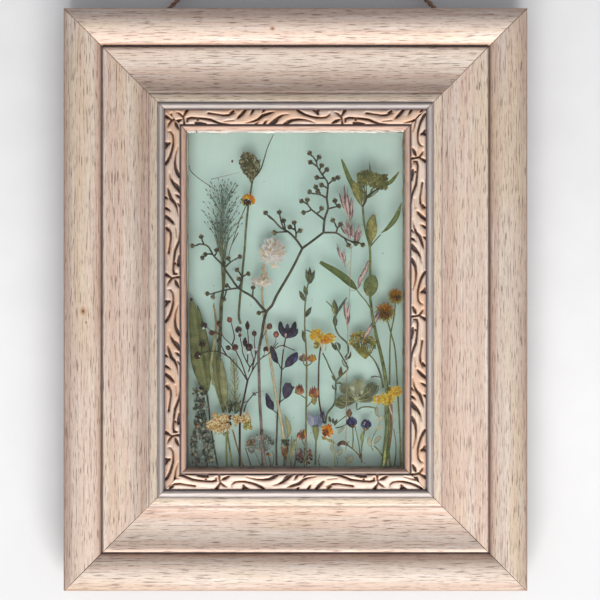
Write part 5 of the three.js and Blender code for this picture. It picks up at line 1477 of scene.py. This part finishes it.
def curly_branch():
    """Dark green branch with a straw-edged bud, a long brown bud and curved narrow leaves."""
    node, layer = "curly_branch", 3
    for line, wide in (
        ([(325.6, 425), (327.6, 415), (333.6, 407), (335.8, 401), (336, 391), (336.6, 382.7),
            (340.7, 377.6), (345.8, 373), (348.4, 369), (344.3, 361), (341, 355.4), (337.7, 350),
            (335.6, 344)], 2.0),
        ([(345.3, 359), (348.4, 354), (348, 345), (341, 338), (337.4, 333), (335, 324.7), (336.6, 316.5)],
            1.9),
        ([(336.4, 391), (335.6, 380), (331, 371), (326.6, 361), (323, 354)], 1.7),
        ([(336.6, 317), (333, 309), (326.4, 302)], 1.3), ([(336.8, 316), (341, 308), (347.3, 298.7)], 1.4),
        ([(348.4, 369), (344, 366), (342.4, 361)], 1.2), ([(312.4, 333.4), (306.4, 331)], 1.2),
    ):
        stalk(node, "dark_foliage", line, layer, wide, wide * 0.75, 0.45, 6)
    for line, wide in (
        ([(336.6, 316), (341, 308), (347.3, 298.4)], 2.6), ([(337, 352), (334, 347), (331.6, 343)], 3.4),
        ([(345, 361), (350, 358), (351.4, 352)], 2.4), ([(336, 383), (333.4, 378.6), (332, 376)], 2.2),
        ([(336.4, 385), (340, 384), (343.4, 386)], 2.0),
        ([(335.6, 391), (333.6, 389), (332.4, 385.6)], 1.8), ([(340, 352), (339.6, 346), (336, 343)], 2.6),
    ):
        leaf(node, "dark_foliage", line, layer, leafy(wide), 0.3, 0.3, 0.25, 0.25, 8)
    closed_bud(node, 340.2, 379.6, 341.6, 367.4, layer, 4.2, 0.1, "brown_twig")
    closed_bud(node, 336, 317, 334.6, 300.6, layer, 6.0, 0.2)
    closed_bud(node, 336, 317, 332.4, 304, layer, 4.0, 0.7, "pale_blade")
    closed_bud(node, 336, 328, 335, 316, layer, 4.6, 0.1)


def spikelet(node, layer, foot, tip, wide):
    """A chaffy spikelet: long papery husks in pairs, with an awn."""
    base, end = at(*foot, layer), at(*tip, layer)
    along = end - base
    across = Vector((-along.y, along.x, 0)).normalized()
    for k in range(5):
        side = (k - 2) / 2
        start = base + along * 0.06 * k
        reach = along * draw(0.62, 0.92)
        bow = across * side * wide * PX * 0.34
        line = [start, start + reach * 0.3 + bow * 0.8, start + reach * 0.6 + bow,
            start + reach * 0.85 + bow * 0.7, start + reach]
        line = [p + Vector((0, 0, 0.25 * rng.random())) for p in line]
        tone = 0.95 - 0.9 * abs(side) + draw(-0.2, 0.2)
        grow(node, "mauve_chaff", line, leafy(wide * 0.4, 0.42, 0.8), 6, 0.35, 0.3, tone=tone)
    for side in (-1.3, -0.5, 0.4, 1.2):
        bow = across * side * wide * PX * 0.36
        hair(node, "mauve_chaff", base + along * 0.5 + bow * 0.6, base + along * draw(0.9, 1.12) + bow,
            0.12, -0.3, 0.06)


def oat_grass():
    """Wild oats: drooping mauve spikelets on a straw as thin as hair."""
    node, layer = "oat_grass", 4
    stalk(node, "straw_stalk", [(346, 468.4), (347, 400), (348, 340), (350.4, 285), (351.6, 245),
        (350, 205)], layer, 0.8, 0.5, 0.4, 4)
    for foot, tip, wide in (
        ((349.6, 221), (340, 193), 4), ((350, 223), (346, 190), 5), ((351, 222), (352.6, 200), 4),
        ((349.6, 240), (340.6, 224), 4), ((350.4, 241), (348, 222), 4.6), ((354.6, 246), (352.6, 224), 4.4),
        ((355, 246), (360.6, 226), 5), ((355.6, 245), (363, 232), 3.6), ((345.6, 268.6), (337.4, 245), 4.2),
        ((345.4, 264), (343.6, 250), 3), ((357, 291), (362.4, 276), 4), ((360, 284), (366, 270), 4.4),
        ((364.6, 276), (369.6, 262), 4), ((347, 327.6), (345.6, 303), 4.4), ((348, 327), (349.6, 304), 3.6),
        ((363, 341), (373, 326), 4.6), ((369, 331), (381.6, 312), 4.6), ((366, 337), (378, 318), 3.4),
    ):
        spikelet(node, layer, foot, tip, wide)
    for line in (
        [(351, 262), (345.6, 268.6)], [(350.6, 292), (357, 291)], [(348, 345), (363, 341)],
        [(350, 250), (355, 246)], [(348.4, 332), (347.4, 327)],
    ):
        stalk(node, "straw_stalk", line, layer, 0.6, 0.5, 0.4, 4)


def herb():
    """The large green herb at the right: stout stalks, long leaves, a withered green flower mass on top."""
    node, layer = "herb_stem", 5
    for tissue, line, *form in (
        ("herb_stalk", [(383.6, 468.4), (385.6, 452), (387.6, 430, -0.6), (388, 410, -1.5),
            (387.2, 390.6, -1.3), (385.2, 375, -0.5), (382.3, 360), (380, 350), (376, 334), (373.6, 321),
            (372, 311)], 4.8, 2.8, 0.3, 8),
        ("herb_stalk", [(372, 311), (370, 293), (370.5, 272), (370.5, 254), (369.6, 245), (367, 236),
            (364.4, 223), (363, 208)], 2.8, 2.1, 0.35, 7),
        ("brown_twig", [(384.8, 468.4, -0.6), (389, 450, -0.8), (391.6, 430, -1.2), (391.6, 408, -1.6),
            (390, 388, -1.4)], 3.2, 2.4, 0.5),
        ("herb_stalk", [(391, 468.4), (388.4, 446, -0.4), (386.2, 424, -0.8), (385.6, 400, -1.6)], 2.2, 1.8,
            0.3),
    ):
        stalk(node, tissue, line, layer, *form)
    node = "herb_top"
    leaf(node, "herb_leaf", [(363, 208), (358.8, 200), (354.7, 190), (348.6, 177), (341.8, 160)], layer,
         widths(1.4, 3.8, 5.2, 5.2, 4.8, 4.2, 3.4, 1.4), 0.2, 0.08, 0.1, 0.08, 14)
    leaf(node, "herb_flower", [(362, 206, 0.2), (358.4, 197, 0.3), (355.6, 189, 0.3), (353.4, 181.6, 0.3)],
        layer, widths(1.4, 5.4, 8, 6.6, 2), 0.2, 0.3, 0.3)
    leaf(node, "olive_leaf", [(362.6, 204, 0.5), (361.6, 196, 0.6), (361.4, 187, 0.5)], layer,
        leafy(3.6, 0.5), 0.3, 0.3, 0.3)
    stalk(node, "dark_stalk", [(363, 208), (365.4, 202), (368, 197), (377, 190.5), (384, 187.4)], layer,
        2.1, 1.3, 0.15)
    leaf(node, "herb_leaf", [(376, 188.4), (383, 186), (390, 183.4), (394.6, 179), (399.4, 172.6)], layer,
         widths(1.2, 3.6, 4.0, 3.6, 2.6, 1.2), 0.2, 0.1, 0.1)
    leaf(node, "olive_leaf", [(364.4, 207), (365.6, 199), (365, 190)], layer, leafy(4.0, 0.5), 0.3, 0.1, 0.3)
    for _ in range(250):
        x = draw(358, 387)
        y = draw(176, 190) - 4.4 * math.exp(-((x - 368) / 7) ** 2)
        spot = at(x, y, layer, draw(-0.6, 0.4))
        way = (spot - at(367, 203, layer)).normalized()
        way += Vector((draw(-0.5, 0.5), draw(-0.2, 0.5), draw(-0.1, 0.3)))
        way = way.normalized() * draw(1.0, 2.6)
        line = steps(spot, way, -0.5, -0.1, 0.25, 0.5)
        grow(node, rng.choice(("herb_flower", "herb_flower", "olive_leaf")), line,
            leafy(draw(1.8, 4.0), 0.5, 0.7), 6, 0.2, 0.3, 0.2, tone=draw(-0.2, 0.6), roll=draw(-0.6, 0.6))
    for line, wide in (
        ([(370.4, 185), (370.6, 174), (369.8, 161.4)], 1.9),
        ([(361.6, 186), (361, 179), (360.4, 171)], 1.3), ([(365.6, 184), (365.4, 176), (366, 171)], 1.2),
        ([(379.6, 184), (380, 179), (381.4, 175)], 1.2),
    ):
        leaf(node, "olive_leaf", line, layer, leafy(wide, 0.35), 0.3, 0.1, 0.15)
    for _ in range(12):
        foot = (367.6 + draw(-0.6, 0.6), 199)
        tip = (draw(358, 384), draw(184, 192))
        stalk(node, "herb_stalk", [foot, ((foot[0] + tip[0]) / 2, (foot[1] + tip[1]) / 2 + 1), tip], layer,
            1.0, 0.8, 0.2, 4)
    node, layer = "herb_side_leaf", 4
    stalk(node, "herb_stalk", [(371, 247), (376, 241), (381, 235.5)], layer, 1.4, 1.2, 0.3, 5)
    leaf(node, "herb_leaf", [(381, 234.5), (389, 228), (396.6, 218), (402.5, 203)], layer,
        leafy(5.0, 0.5, 0.8), 0.3, 0.1, 0.1)
    node = "herb_stem"
    leaf(node, "herb_flower", [(371, 247), (370.4, 238), (371.6, 228), (374, 215.6)], layer,
        widths(1.5, 5, 8, 9.6, 10.4, 7.6, 3), 0.25, 0.22, 0.3, 0.08, 12)
    leaf(node, "herb_flower", [(372, 243, 0.4), (374.6, 234, 0.5), (377, 224, 0.5)], layer, leafy(5, 0.5),
        0.25, 0.2, 0.55)
    stalk(node, "herb_stalk", [(372, 311), (366.7, 303), (361, 296), (356.4, 290)], 3, 1.5, 1.2, 0.3, 5)
    leaf(node, "herb_leaf", [(357.4, 290.6), (348, 281.6), (336, 272.4), (320.4, 263)], 3,
         widths(2, 6.6, 7.6, 7.2, 6.4, 5.0, 3.2), 0.24, 0.06, -0.15, 0.08, 12)
    node, layer = "herb_low_leaf", 3
    leaf(node, "herb_leaf", [(369.6, 297), (371, 288), (373.4, 276)], layer,
        widths(5, 12, 14.6, 14.6, 11.4, 5), 0.15, 0.12, 0.4, 0.06, 14)
    leaf(node, "herb_flower", [(366.6, 296, 0.4), (370, 290, 0.5), (372, 284, 0.4)], layer, leafy(7, 0.5),
        0.2, 0.2, 0.3)


def fuzzy_heads():
    """Two fuzzy round heads: olive bristles, an orange crown and a dark brown heart."""
    for node, layer, centre, size, heart in (
        ("fuzzy_head_upper", 3, (396.4, 297.4), 3.1, (397.6, 298.6)),
        ("fuzzy_head_lower", 2, (385.6, 313.4), 3.9, (387.4, 315.4)),
    ):
        middle = at(*centre, layer)
        ball(node, "rusty_head", middle, size * 0.62, (0.95, 1, 0.5), 0.0, 0.15)
        for _ in range(460):
            turn, out = on_disc()
            way = Vector((math.cos(turn) * out, math.sin(turn) * out, draw(0.0, 0.5))).normalized()
            start = middle + way * size * 0.42
            kind = "lime_umbel" if out > 0.6 and math.sin(turn) < 0.5 else "rusty_head"
            if math.sin(turn) > 0.45 and rng.random() < 0.6:
                kind = "orange_petal"
            hair(node, kind, start, start + way * size * draw(0.35, 0.85), 0.15, draw(-0.3, 1.0), 0.14)
        spot = at(*heart, layer, size * 0.42)
        for _ in range(70):
            turn, out = draw(0, 2 * math.pi), rng.random() ** 0.5 * size * 0.5
            seat = spot + Vector((math.cos(turn) * out, math.sin(turn) * out, -0.12 * out * out))
            ball(node, "dark_disc", seat, draw(0.22, 0.36), (1, 1, 1), draw(-0.2, 0.8), 0.3, 1)
    stalk("fuzzy_head_upper", "herb_stalk", [(390, 386), (390.4, 350), (391.4, 334), (394, 321),
        (396.6, 300)], 3, 1.7, 1.2, 0.3)
    stalk("fuzzy_head_lower", "herb_stalk", [(402, 468.4), (401, 444), (399, 406), (397.6, 380),
        (395.5, 350), (391.4, 334), (388.4, 323), (386.5, 316)], 2, 1.8, 1.3, 0.35)


def toothed_lobe(node, tissue, line, wide, layer, tone):
    """A leaf lobe with parallel ribs, each ending in a tooth."""
    half = leafy(wide, 0.58, 0.55)
    leaf(node, tissue, line, layer, half, 0.12, 0.08, tone, 0.05, 18)
    foot, tip = at(*line[0], layer, 0.2), at(*line[-1], layer, 0.2)
    along = tip - foot
    across = Vector((-along.y, along.x, 0)).normalized()
    for k in range(11):
        t = 0.16 + 0.8 * k / 10
        for side in (-1, 1):
            start = foot + along * t
            end = start + across * side * half(t) * 1.1 + along.normalized() * half(t) * 0.55
            rib = [start, start * 0.5 + end * 0.5 + Vector((0, 0, 0.12)), end]
            grow(node, "olive_leaf", rib, taper(0.9, 0.5), 4, tone=draw(-0.1, 0.5))
            grow(node, tissue, [end - (end - start) * 0.4, end, end + (end - start).normalized() * 0.35],
                 leafy(1.9, 0.35), 5, 0.3, tone=tone)
    grow(node, "pale_blade", [foot, foot * 0.5 + tip * 0.5 + Vector((0, 0, 0.15)), tip], taper(1.2, 0.5), 4,
        tone=0.9)


def right_growth():
    """Umbel, strawberry leaf, yellow flower and vetch at the lower right."""
    umbel("yellow_umbel", "lime_umbel", 2, (366, 360), (363, 347), 13, 14, 19, 0.2)
    umbel("yellow_umbel", "rusty_head", 2, (362, 354), (358, 346), 8, 12, 9, 0.2)
    umbel("yellow_umbel", "olive_leaf", 2, (364, 358), (366, 350), 11, 11, 10, 0.3)
    stalk("yellow_umbel", "olive_stalk", [(383.7, 389), (382, 380), (379, 370), (373, 359), (365, 353)], 2,
        2.1, 1.3)
    stalk("yellow_umbel", "dark_stalk", [(371.4, 378.6), (375, 377.4), (381, 378.8)], 2, 1.0, 0.8)
    node, layer = "strawberry_leaf", 1
    for line, wide, tone in (
        ([(346, 406.4), (343, 407), (337, 403)], 8, 0.0),
        ([(357, 402.4), (349, 402.4), (338, 402.6)], 10, 0.1),
        ([(356.4, 401.6), (349, 394), (341.4, 386)], 9, 0.5),
        ([(358, 402), (366, 401.4), (374, 399.6)], 5.6, 0.8),
        ([(358.6, 401), (367, 394), (377.6, 386.4)], 11, 0.0),
        ([(357.6, 402), (358.4, 392), (358.4, 380.6)], 13, 1.0),
    ):
        toothed_lobe(node, "sage_leaf", line, wide, layer, tone)
    stalk(node, "herb_stalk", [(376, 409.4), (369, 408), (362, 408.7), (357.6, 411), (357, 404)], layer,
        1.5, 1.3, 0.2)
    node, layer = "yellow_flower", 3
    for middle, wide, tall, count in (
        ((378, 400.6), 4.6, 4.6, 70), ((385, 400), 5.0, 6.6, 84), ((390, 398.8), 5.6, 8.0, 130),
        ((396.4, 392.2), 6.6, 5.6, 130),
    ):
        centre = at(*middle, layer, 1.0)
        for _ in range(count):
            angle, out = on_disc()
            spot = centre + Vector((math.cos(angle) * wide * out * PX * 0.8,
                math.sin(angle) * tall * out * PX * 0.8, 0.9 - 0.8 * out))
            way = Vector((math.cos(angle) * out, math.sin(angle) * out + 0.2,
                draw(0.1, 0.6))).normalized() * draw(0.9, 1.6)
            line = steps(spot, way, -0.5, 0, 0.35, 0.5)
            kind = "orange_petal" if rng.random() < 0.1 else "yellow_petal"
            grow(node, kind, line, petal(draw(1.3, 2.2)), 6, 0.3, 0.2, tone=draw(-0.3, 1.6) - 0.3 * (1 - out))
    for _ in range(14):
        ball(node, "dark_disc", at(draw(382, 392), draw(401, 406), layer, 0.8), 0.3, (1, 1, 1), 0.8, 0.2, 1)
    stalk(node, "mauve_chaff", [(393.6, 424, 0.4), (391.6, 413, 0.6), (389, 406, 0.6), (388, 400, 0.4)],
        layer, 1.8, 2.4, 1.0)
    node, layer = "vetch_leaves", 3
    stalk(node, "herb_stalk", [(384, 459), (379.4, 452), (374.6, 447)], layer, 1.7, 1.2)
    stalk(node, "herb_stalk", [(373.6, 452), (371.4, 446), (374, 437), (379.6, 425), (377.4, 412)], layer,
        0.9, 0.6)
    for line, wide, tone in (
        ([(376.4, 422.6), (380.6, 420), (385, 417.2)], 3.4, 0.8),
        ([(375.4, 432), (379.6, 429.4), (384.4, 426.4)], 4.2, 0.9),
        ([(377.4, 417.4), (376.8, 412), (377.8, 407)], 4.0, 0.5),
        ([(374.4, 445.6), (377.4, 441), (382, 437)], 5.0, 0.6),
        ([(370.6, 448.6), (369.6, 443), (369.8, 437.4)], 4.4, 0.6),
        ([(338, 435.6), (341.6, 431.6), (345.4, 428.4)], 3.2, 0.6),
        ([(337.4, 458), (340, 453.6), (343.4, 450.6)], 5.0, 0.4),
        ([(346.4, 465.6), (350, 461), (354, 457.6)], 6.4, 0.7),
        ([(334.4, 455.6), (332.6, 450), (331.6, 445)], 3.8, 0.7),
    ):
        leaf(node, "sage_leaf", line, layer if line[0][0] > 360 else 1, leafy(wide, 0.5, 0.65), 0.22, 0.1,
            tone)


def violets():
    """Two closed dark violets, round, with a brown calyx, on thin stalks."""
    for node, layer, centre in (("violet_left", 5, (352.2, 423.6)), ("violet_right", 2, (366.2, 426.2))):
        middle = at(*centre, layer)
        middle.z = min(middle.z, 12.6)
        ball(node, "violet_petal", middle, 1.6, (1.0, 1.2, 0.45), -0.2, 0.2)
        foot = middle - Vector((0, 2.3, 0))
        for k in range(19):
            side = draw(-1, 1)
            tip = middle + Vector((side * 1.6, 2.6 * math.sqrt(1 - 0.6 * side * side) * draw(0.8, 1.0),
                draw(-0.3, 0.4)))
            belly = middle + Vector((side * 1.85, -0.1, 0.55 - 0.4 * abs(side)))
            line = [foot, foot * 0.5 + belly * 0.5, belly, belly * 0.5 + tip * 0.5, tip]
            grow(node, "violet_petal", line, leafy(3.4, 0.58, 0.55), 8, 0.12, 0.25, 0.15, draw(-0.2, 0.9),
                draw(-0.4, 0.4))
        for k in range(7):
            side = (k - 3) / 3
            tip = middle + Vector((side * 1.1 + 0.3, -0.9 + draw(-0.6, 0.5), 0.8))
            line = [foot, foot * 0.5 + tip * 0.5 + Vector((side * 0.3, -0.1, 0.2)), tip]
            kind = rng.choice(("brown_twig", "rust_chaff", "olive_leaf"))
            grow(node, kind, line, leafy(1.9), 6, 0.35, tone=draw(-0.3, 0.5))
    for spot in ((365.4, 423.6), (364.6, 425.4), (366, 430)):
        ball("violet_right", "yarrow_floret", at(*spot, 2, 1.3), 0.3, (1, 1, 1), 0.9, 0.2, 1)
    stalk("violet_left", "herb_stalk", [(352.6, 450), (353.6, 440), (353, 427.4)], 5, 1.2, 1.1)
    stalk("violet_left", "herb_stalk", [(360.4, 455, -0.6), (358.6, 442, -0.6), (355.4, 427.4, -0.4)], 5,
        1.1, 1.0)
    closed_bud("violet_left", 349.4, 418.8, 349.8, 409.6, 5, 5.5, 0.1, "brown_twig")
    for line in ([(334.8, 426), (341, 421), (346.4, 417)], [(335.8, 429), (342, 427.8), (346.6, 425.4)]):
        stalk("violet_left", "dark_foliage", line, 5, 1.1, 0.9, 0.2, 5)
    stalk("violet_right", "herb_stalk", [(362.4, 464), (361.6, 457), (362.9, 443), (365.4, 430)], 2, 1.5, 1.4)
    leaf("violet_right", "herb_stalk", [(363.2, 445), (362.6, 438), (364, 432)], 2, leafy(3.8), 0.3, 0.1,
        0.7, 0.4)
    ball("violet_right", "rusty_head", at(361, 457, 2), 0.85, (0.8, 1.5, 0.8), -0.1, 0.2)
    node, layer = "pod", 3
    leaf(node, "brown_twig", [(348.8, 447), (343.6, 444.6), (337.2, 446.6)], layer, leafy(6.0, 0.5, 0.6),
        0.2, 0.1, 0.1, 0.45, 10)
    # Silver-white centre of the pod: a painted glint
    leaf(node, "trapped_air", [(346.6, 447.6, 0.9), (342.6, 446.8, 1.2), (339.4, 448, 0.9)], layer,
        leafy(2.2, 0.5, 0.6), 0.2, 0.1, -0.2, 0.3, 8)
    stalk(node, "brown_twig", [(348.4, 446.7), (353.6, 450.6), (358, 455), (360.4, 457.4)], layer, 1.2, 1.1)
    leaf(node, "sage_leaf", [(346.4, 446), (348.6, 443.4), (350.6, 442)], layer, leafy(2.6), 0.2, 0.1, 0.5)


def orange_and_blue():
    """Orange flower, blue petals and the low leaves and sprigs at the left of them."""
    node, layer = "orange_flower", 5
    middle = at(327.6, 432.2, layer)
    for ring, count, reach in ((0, 13, 2.9), (1, 11, 2.2), (2, 8, 1.4)):
        for i in range(count):
            angle = 2 * math.pi * (i + draw(-0.3, 0.3)) / count
            way = Vector((math.cos(angle) * 0.92, math.sin(angle), 0)) * reach * draw(0.75, 1.1)
            foot = middle + way * 0.15 + Vector((0, 0, 0.25 * ring - 0.2))
            line = [foot, foot + way * 0.4 + Vector((0, 0, 0.1)), foot + way * 0.75 + Vector((0, 0, 0.12)),
                foot + way]
            grow(node, "orange_petal", line, petal(3.6), 8, 0.18, 0.3, 0.2, draw(-0.5, 0.6), draw(-0.6, 0.6))
    for _ in range(34):
        spot = at(draw(323.6, 329.4), draw(431, 436.4), layer, min(draw(0.3, 0.6), 0.5))
        ball(node, "dark_disc", spot, draw(0.25, 0.42), (1, 1, 0.6), draw(0.0, 0.9), 0.3, 1)
    for k in range(9):
        start = at(322 + k * 1.3, 437 + k * 0.5, layer, -0.5)
        way = Vector((0.5, -0.8, 0)) * draw(1.2, 2.2)
        grow(node, "herb_flower", steps(start, way, 0, 0.4, 0.8, 1), leafy(2.4), 5, 0.3,
             tone=draw(0, 0.9))
    leaf(node, "sage_leaf", [(334.4, 457), (333, 449), (332.6, 441)], layer, leafy(3.4), 0.25, 0.1, 0.6)
    stalk(node, "herb_stalk", [(335.6, 468.4), (334.8, 457), (333, 448), (331.4, 440)], layer, 1.1, 0.9, 0.5)
    for x0, y0, x1, y1 in ((331, 424, 329.4, 417), (333.6, 425, 333.2, 419), (334.6, 427, 337.6, 420)):
        leaf(node, "dark_foliage", [(x0, y0, -0.8), ((x0 + x1) / 2, (y0 + y1) / 2, -0.8), (x1, y1, -0.8)],
            layer, leafy(3.0), 0.2, 0.2, 0.3)
    node, layer = "blue_petals", 1
    for line, wide in (
        ([(315.6, 430), (311.6, 423), (308.6, 414.6)], 6.4),
        ([(315.8, 430), (313.6, 423), (313.2, 417)], 7), ([(316.4, 430), (317.6, 423), (318.4, 415.4)], 7),
        ([(317, 430), (321, 422), (324, 412.6)], 6.4),
    ):
        leaf(node, "blue_veil", line, layer, leafy(wide, 0.6, 0.6), 0.25, 0.15, draw(0.2, 0.8), 0.1, 10)
    leaf(node, "violet_petal", [(321.4, 419, 0.3), (322.6, 416, 0.3), (324.4, 412.4, 0.3)], layer,
        leafy(3.2), 0.25, 0.1, 0.5)
    leaf(node, "olive_leaf", [(316.4, 443), (316.4, 436), (315.6, 427, 0.4)], layer,
        widths(1.6, 3.6, 5.4, 6.6, 5.0), 0.2, 0.1, 0.8, 0.4, 10)
    stalk(node, "herb_stalk", [(315.7, 467), (316, 455), (316.3, 442)], layer, 2.0, 1.6)
    leaf("lance_leaf", "pale_blade", [(287.6, 440), (289.6, 432), (287.6, 424), (285, 415.4)], 1,
        leafy(4.6, 0.45), 0.22, 0.08, 0.5)
    leaf("lance_leaf", "herb_leaf", [(283.6, 441), (283.4, 428), (281.4, 417)], 1, leafy(2.6, 0.5), 0.22,
        0.08, 0.5)
    stalk("lance_leaf", "herb_stalk", [(286.4, 468), (286.6, 452), (286.6, 440)], 1, 1.2, 1.0, 0.5)
    leaf("lance_leaf", "pale_blade", [(290.6, 460), (294, 449), (297.6, 438)], 1, leafy(4.0, 0.5), 0.22,
        0.08, 0.6)
    node = "feather_sprig"
    stalk(node, "herb_stalk", [(235.5, 412), (235, 390), (233.7, 360)], 1, 1.8, 1.2, 0.6)
    for k in range(13):
        y = 405 - k * 3.3
        for side in (-1, 1):
            reach = draw(4.5, 8.0) * (1 - 0.4 * k / 13)
            x = 235.4 - 0.04 * (405 - y)
            leaf(node, "sage_leaf", [(x, y), (x + side * reach * 0.5, y - 3.6),
                (x + side * reach * 0.8, y - 8.0)], 1, leafy(draw(1.2, 2.2)), 0.2, 0.2, draw(0.1, 0.9), 0.3,
                5, step=1.2)
    for line, wide in (
        ([(243.8, 413), (246.4, 405), (250, 400), (254.6, 395), (258, 393.4)], 1.6),
        ([(244, 404.6), (248.4, 402)], 1.1), ([(254.4, 397), (252.6, 394)], 1.2),
        ([(256, 397), (254, 393.6)], 1.2),
    ):
        stalk("forked_twig", "dark_stalk", line, 0, wide, 1.0, 0.2, 5)


def specks_and_glints():
    """Fallen seeds and dust, painted glints beside the berries and buds, and painted highlights along the rim
    of the casting.
    """
    for _ in range(60):
        x, y = draw(192, 400), 466 - 300 * rng.random() ** 1.7
        node = rng.choice(("plume_grass", "larkspur", "heath_stem", "yellow_umbel"))
        ball(node, "brown_twig", at_height(x, y, draw(7.6, 12.4)), draw(0.1, 0.24), (1, 1, 1), rng.random(),
            0.3, 1)
    # Painted glints: small white films where light glints on berries, buds and florets
    for x0, y0, x1, y1, wide in (
        (247.2, 355, 250.2, 352, 2.4), (251.4, 350.2, 260.4, 350.8, 1.5), (265.8, 351.4, 266.6, 353.4, 2.4),
        (277.4, 339, 279, 340.4, 2.2), (282.6, 349.6, 284.4, 348.4, 2.2), (285.6, 349.4, 287.6, 349.8, 1.6),
        (202.6, 329, 205, 329.4, 2.6), (238.4, 332, 240.2, 333.4, 1.8), (199, 356.6, 200.6, 358, 1.6),
        (302.4, 355.6, 304.6, 356.6, 1.8), (260.4, 437.4, 262, 438, 1.8), (266, 443.6, 267.4, 444.4, 1.6),
        (245.3, 202, 245.8, 203.2, 0.7), (244.2, 200.2, 244.8, 200.8, 0.6), (213, 423, 215, 422, 1.0),
        (231, 418.4, 232, 418.8, 1.0), (226.2, 427.4, 227.4, 427.6, 1.3), (230.6, 434, 231.6, 434.4, 1.0),
        (247.4, 419.6, 249.2, 419.4, 1.4), (245.4, 417.6, 246.6, 417.8, 0.9),
        (246.4, 404.2, 247.6, 403.6, 0.8), (376, 400, 378, 399, 1.4), (301.4, 355, 302.4, 356.8, 1.0),
        (261, 253.6, 262, 254.4, 1.0), (278, 261.4, 278.8, 262.6, 1.0), (308, 449.6, 308.8, 452, 0.8),
        (365, 424.6, 365.6, 423.4, 0.7),
    ):
        a, b = at_height(x0, y0, 13.0), at_height(x1, y1, 13.0)
        line = [a, a * 0.7 + b * 0.3, a * 0.3 + b * 0.7, b]
        grow("berry_stem", "trapped_air", line, leafy(wide, 0.5, 0.6), 6, 0.4, tone=1.0)
    # Painted highlight: a wavy white line where the casting's rim under the top rail reflects the lamp
    for x0, x1, wide in (
        (187.6, 196, 2.2), (195.4, 220, 1.1), (226, 262, 1.0), (261, 309.5, 1.3), (314.5, 318, 0.5),
        (322, 356, 1.1), (357.5, 380, 1.3), (379, 396, 0.9),
    ):
        count = max(3, round((x1 - x0) / 3))
        line = []
        for i in range(count + 1):
            x = x0 + (x1 - x0) * i / count
            line.append(at_height(x, 133.2 + 0.7 * noise.noise(Vector((x * 0.09, 4, 0))) + 0.4
                * noise.noise(Vector((x * 0.3, 8, 0))), 13.5))
        grow("oat_grass", "trapped_air", line, leafy(wide, 0.5, 0.3), 6, 0.15, tone=1.0)
    # Painted highlight: a thin white line down the left edge of the casting
    for y0, y1, wide in ((136, 176, 0.9), (180, 236, 0.4), (240, 292, 0.8)):
        line = [at_height(187.5 + 0.2 * noise.noise(Vector((y * 0.1, 2, 0))), y, 13.3)
            for y in np.linspace(y0, y1, 12)]
        grow("blade_leaf", "trapped_air", line, leafy(wide, 0.5, 0.3), 6, 0.15, tone=0.5)


def planting():
    """Grows every plant, then closes each tissue of each plant into a piece."""
    for build in (
        spray, berries, button_flower, plume_grass, bunny_tail, larkspur, left_leaves, scaly_sprigs,
        yarrows, low_growth, heath, marigold, curly_branch, oat_grass, herb, fuzzy_heads, right_growth,
        violets, orange_and_blue, specks_and_glints,
    ):
        build()
    tissues = {name: dried_tissue(name) for name in TISSUES}
    for (node, tissue), bm in growing.items():
        bmesh.ops.remove_doubles(bm, verts=bm.verts, dist=1e-5)
        for vert in bm.verts:
            vert.co = planted(*vert.co)
        bmesh.ops.recalc_face_normals(bm, faces=bm.faces)
        piece(f"{node}.{tissue}", bm, tissues[tissue], [node])


camera()
twine()
studio()
stage()
moulding()
board()
fixings()
casting()
planting()
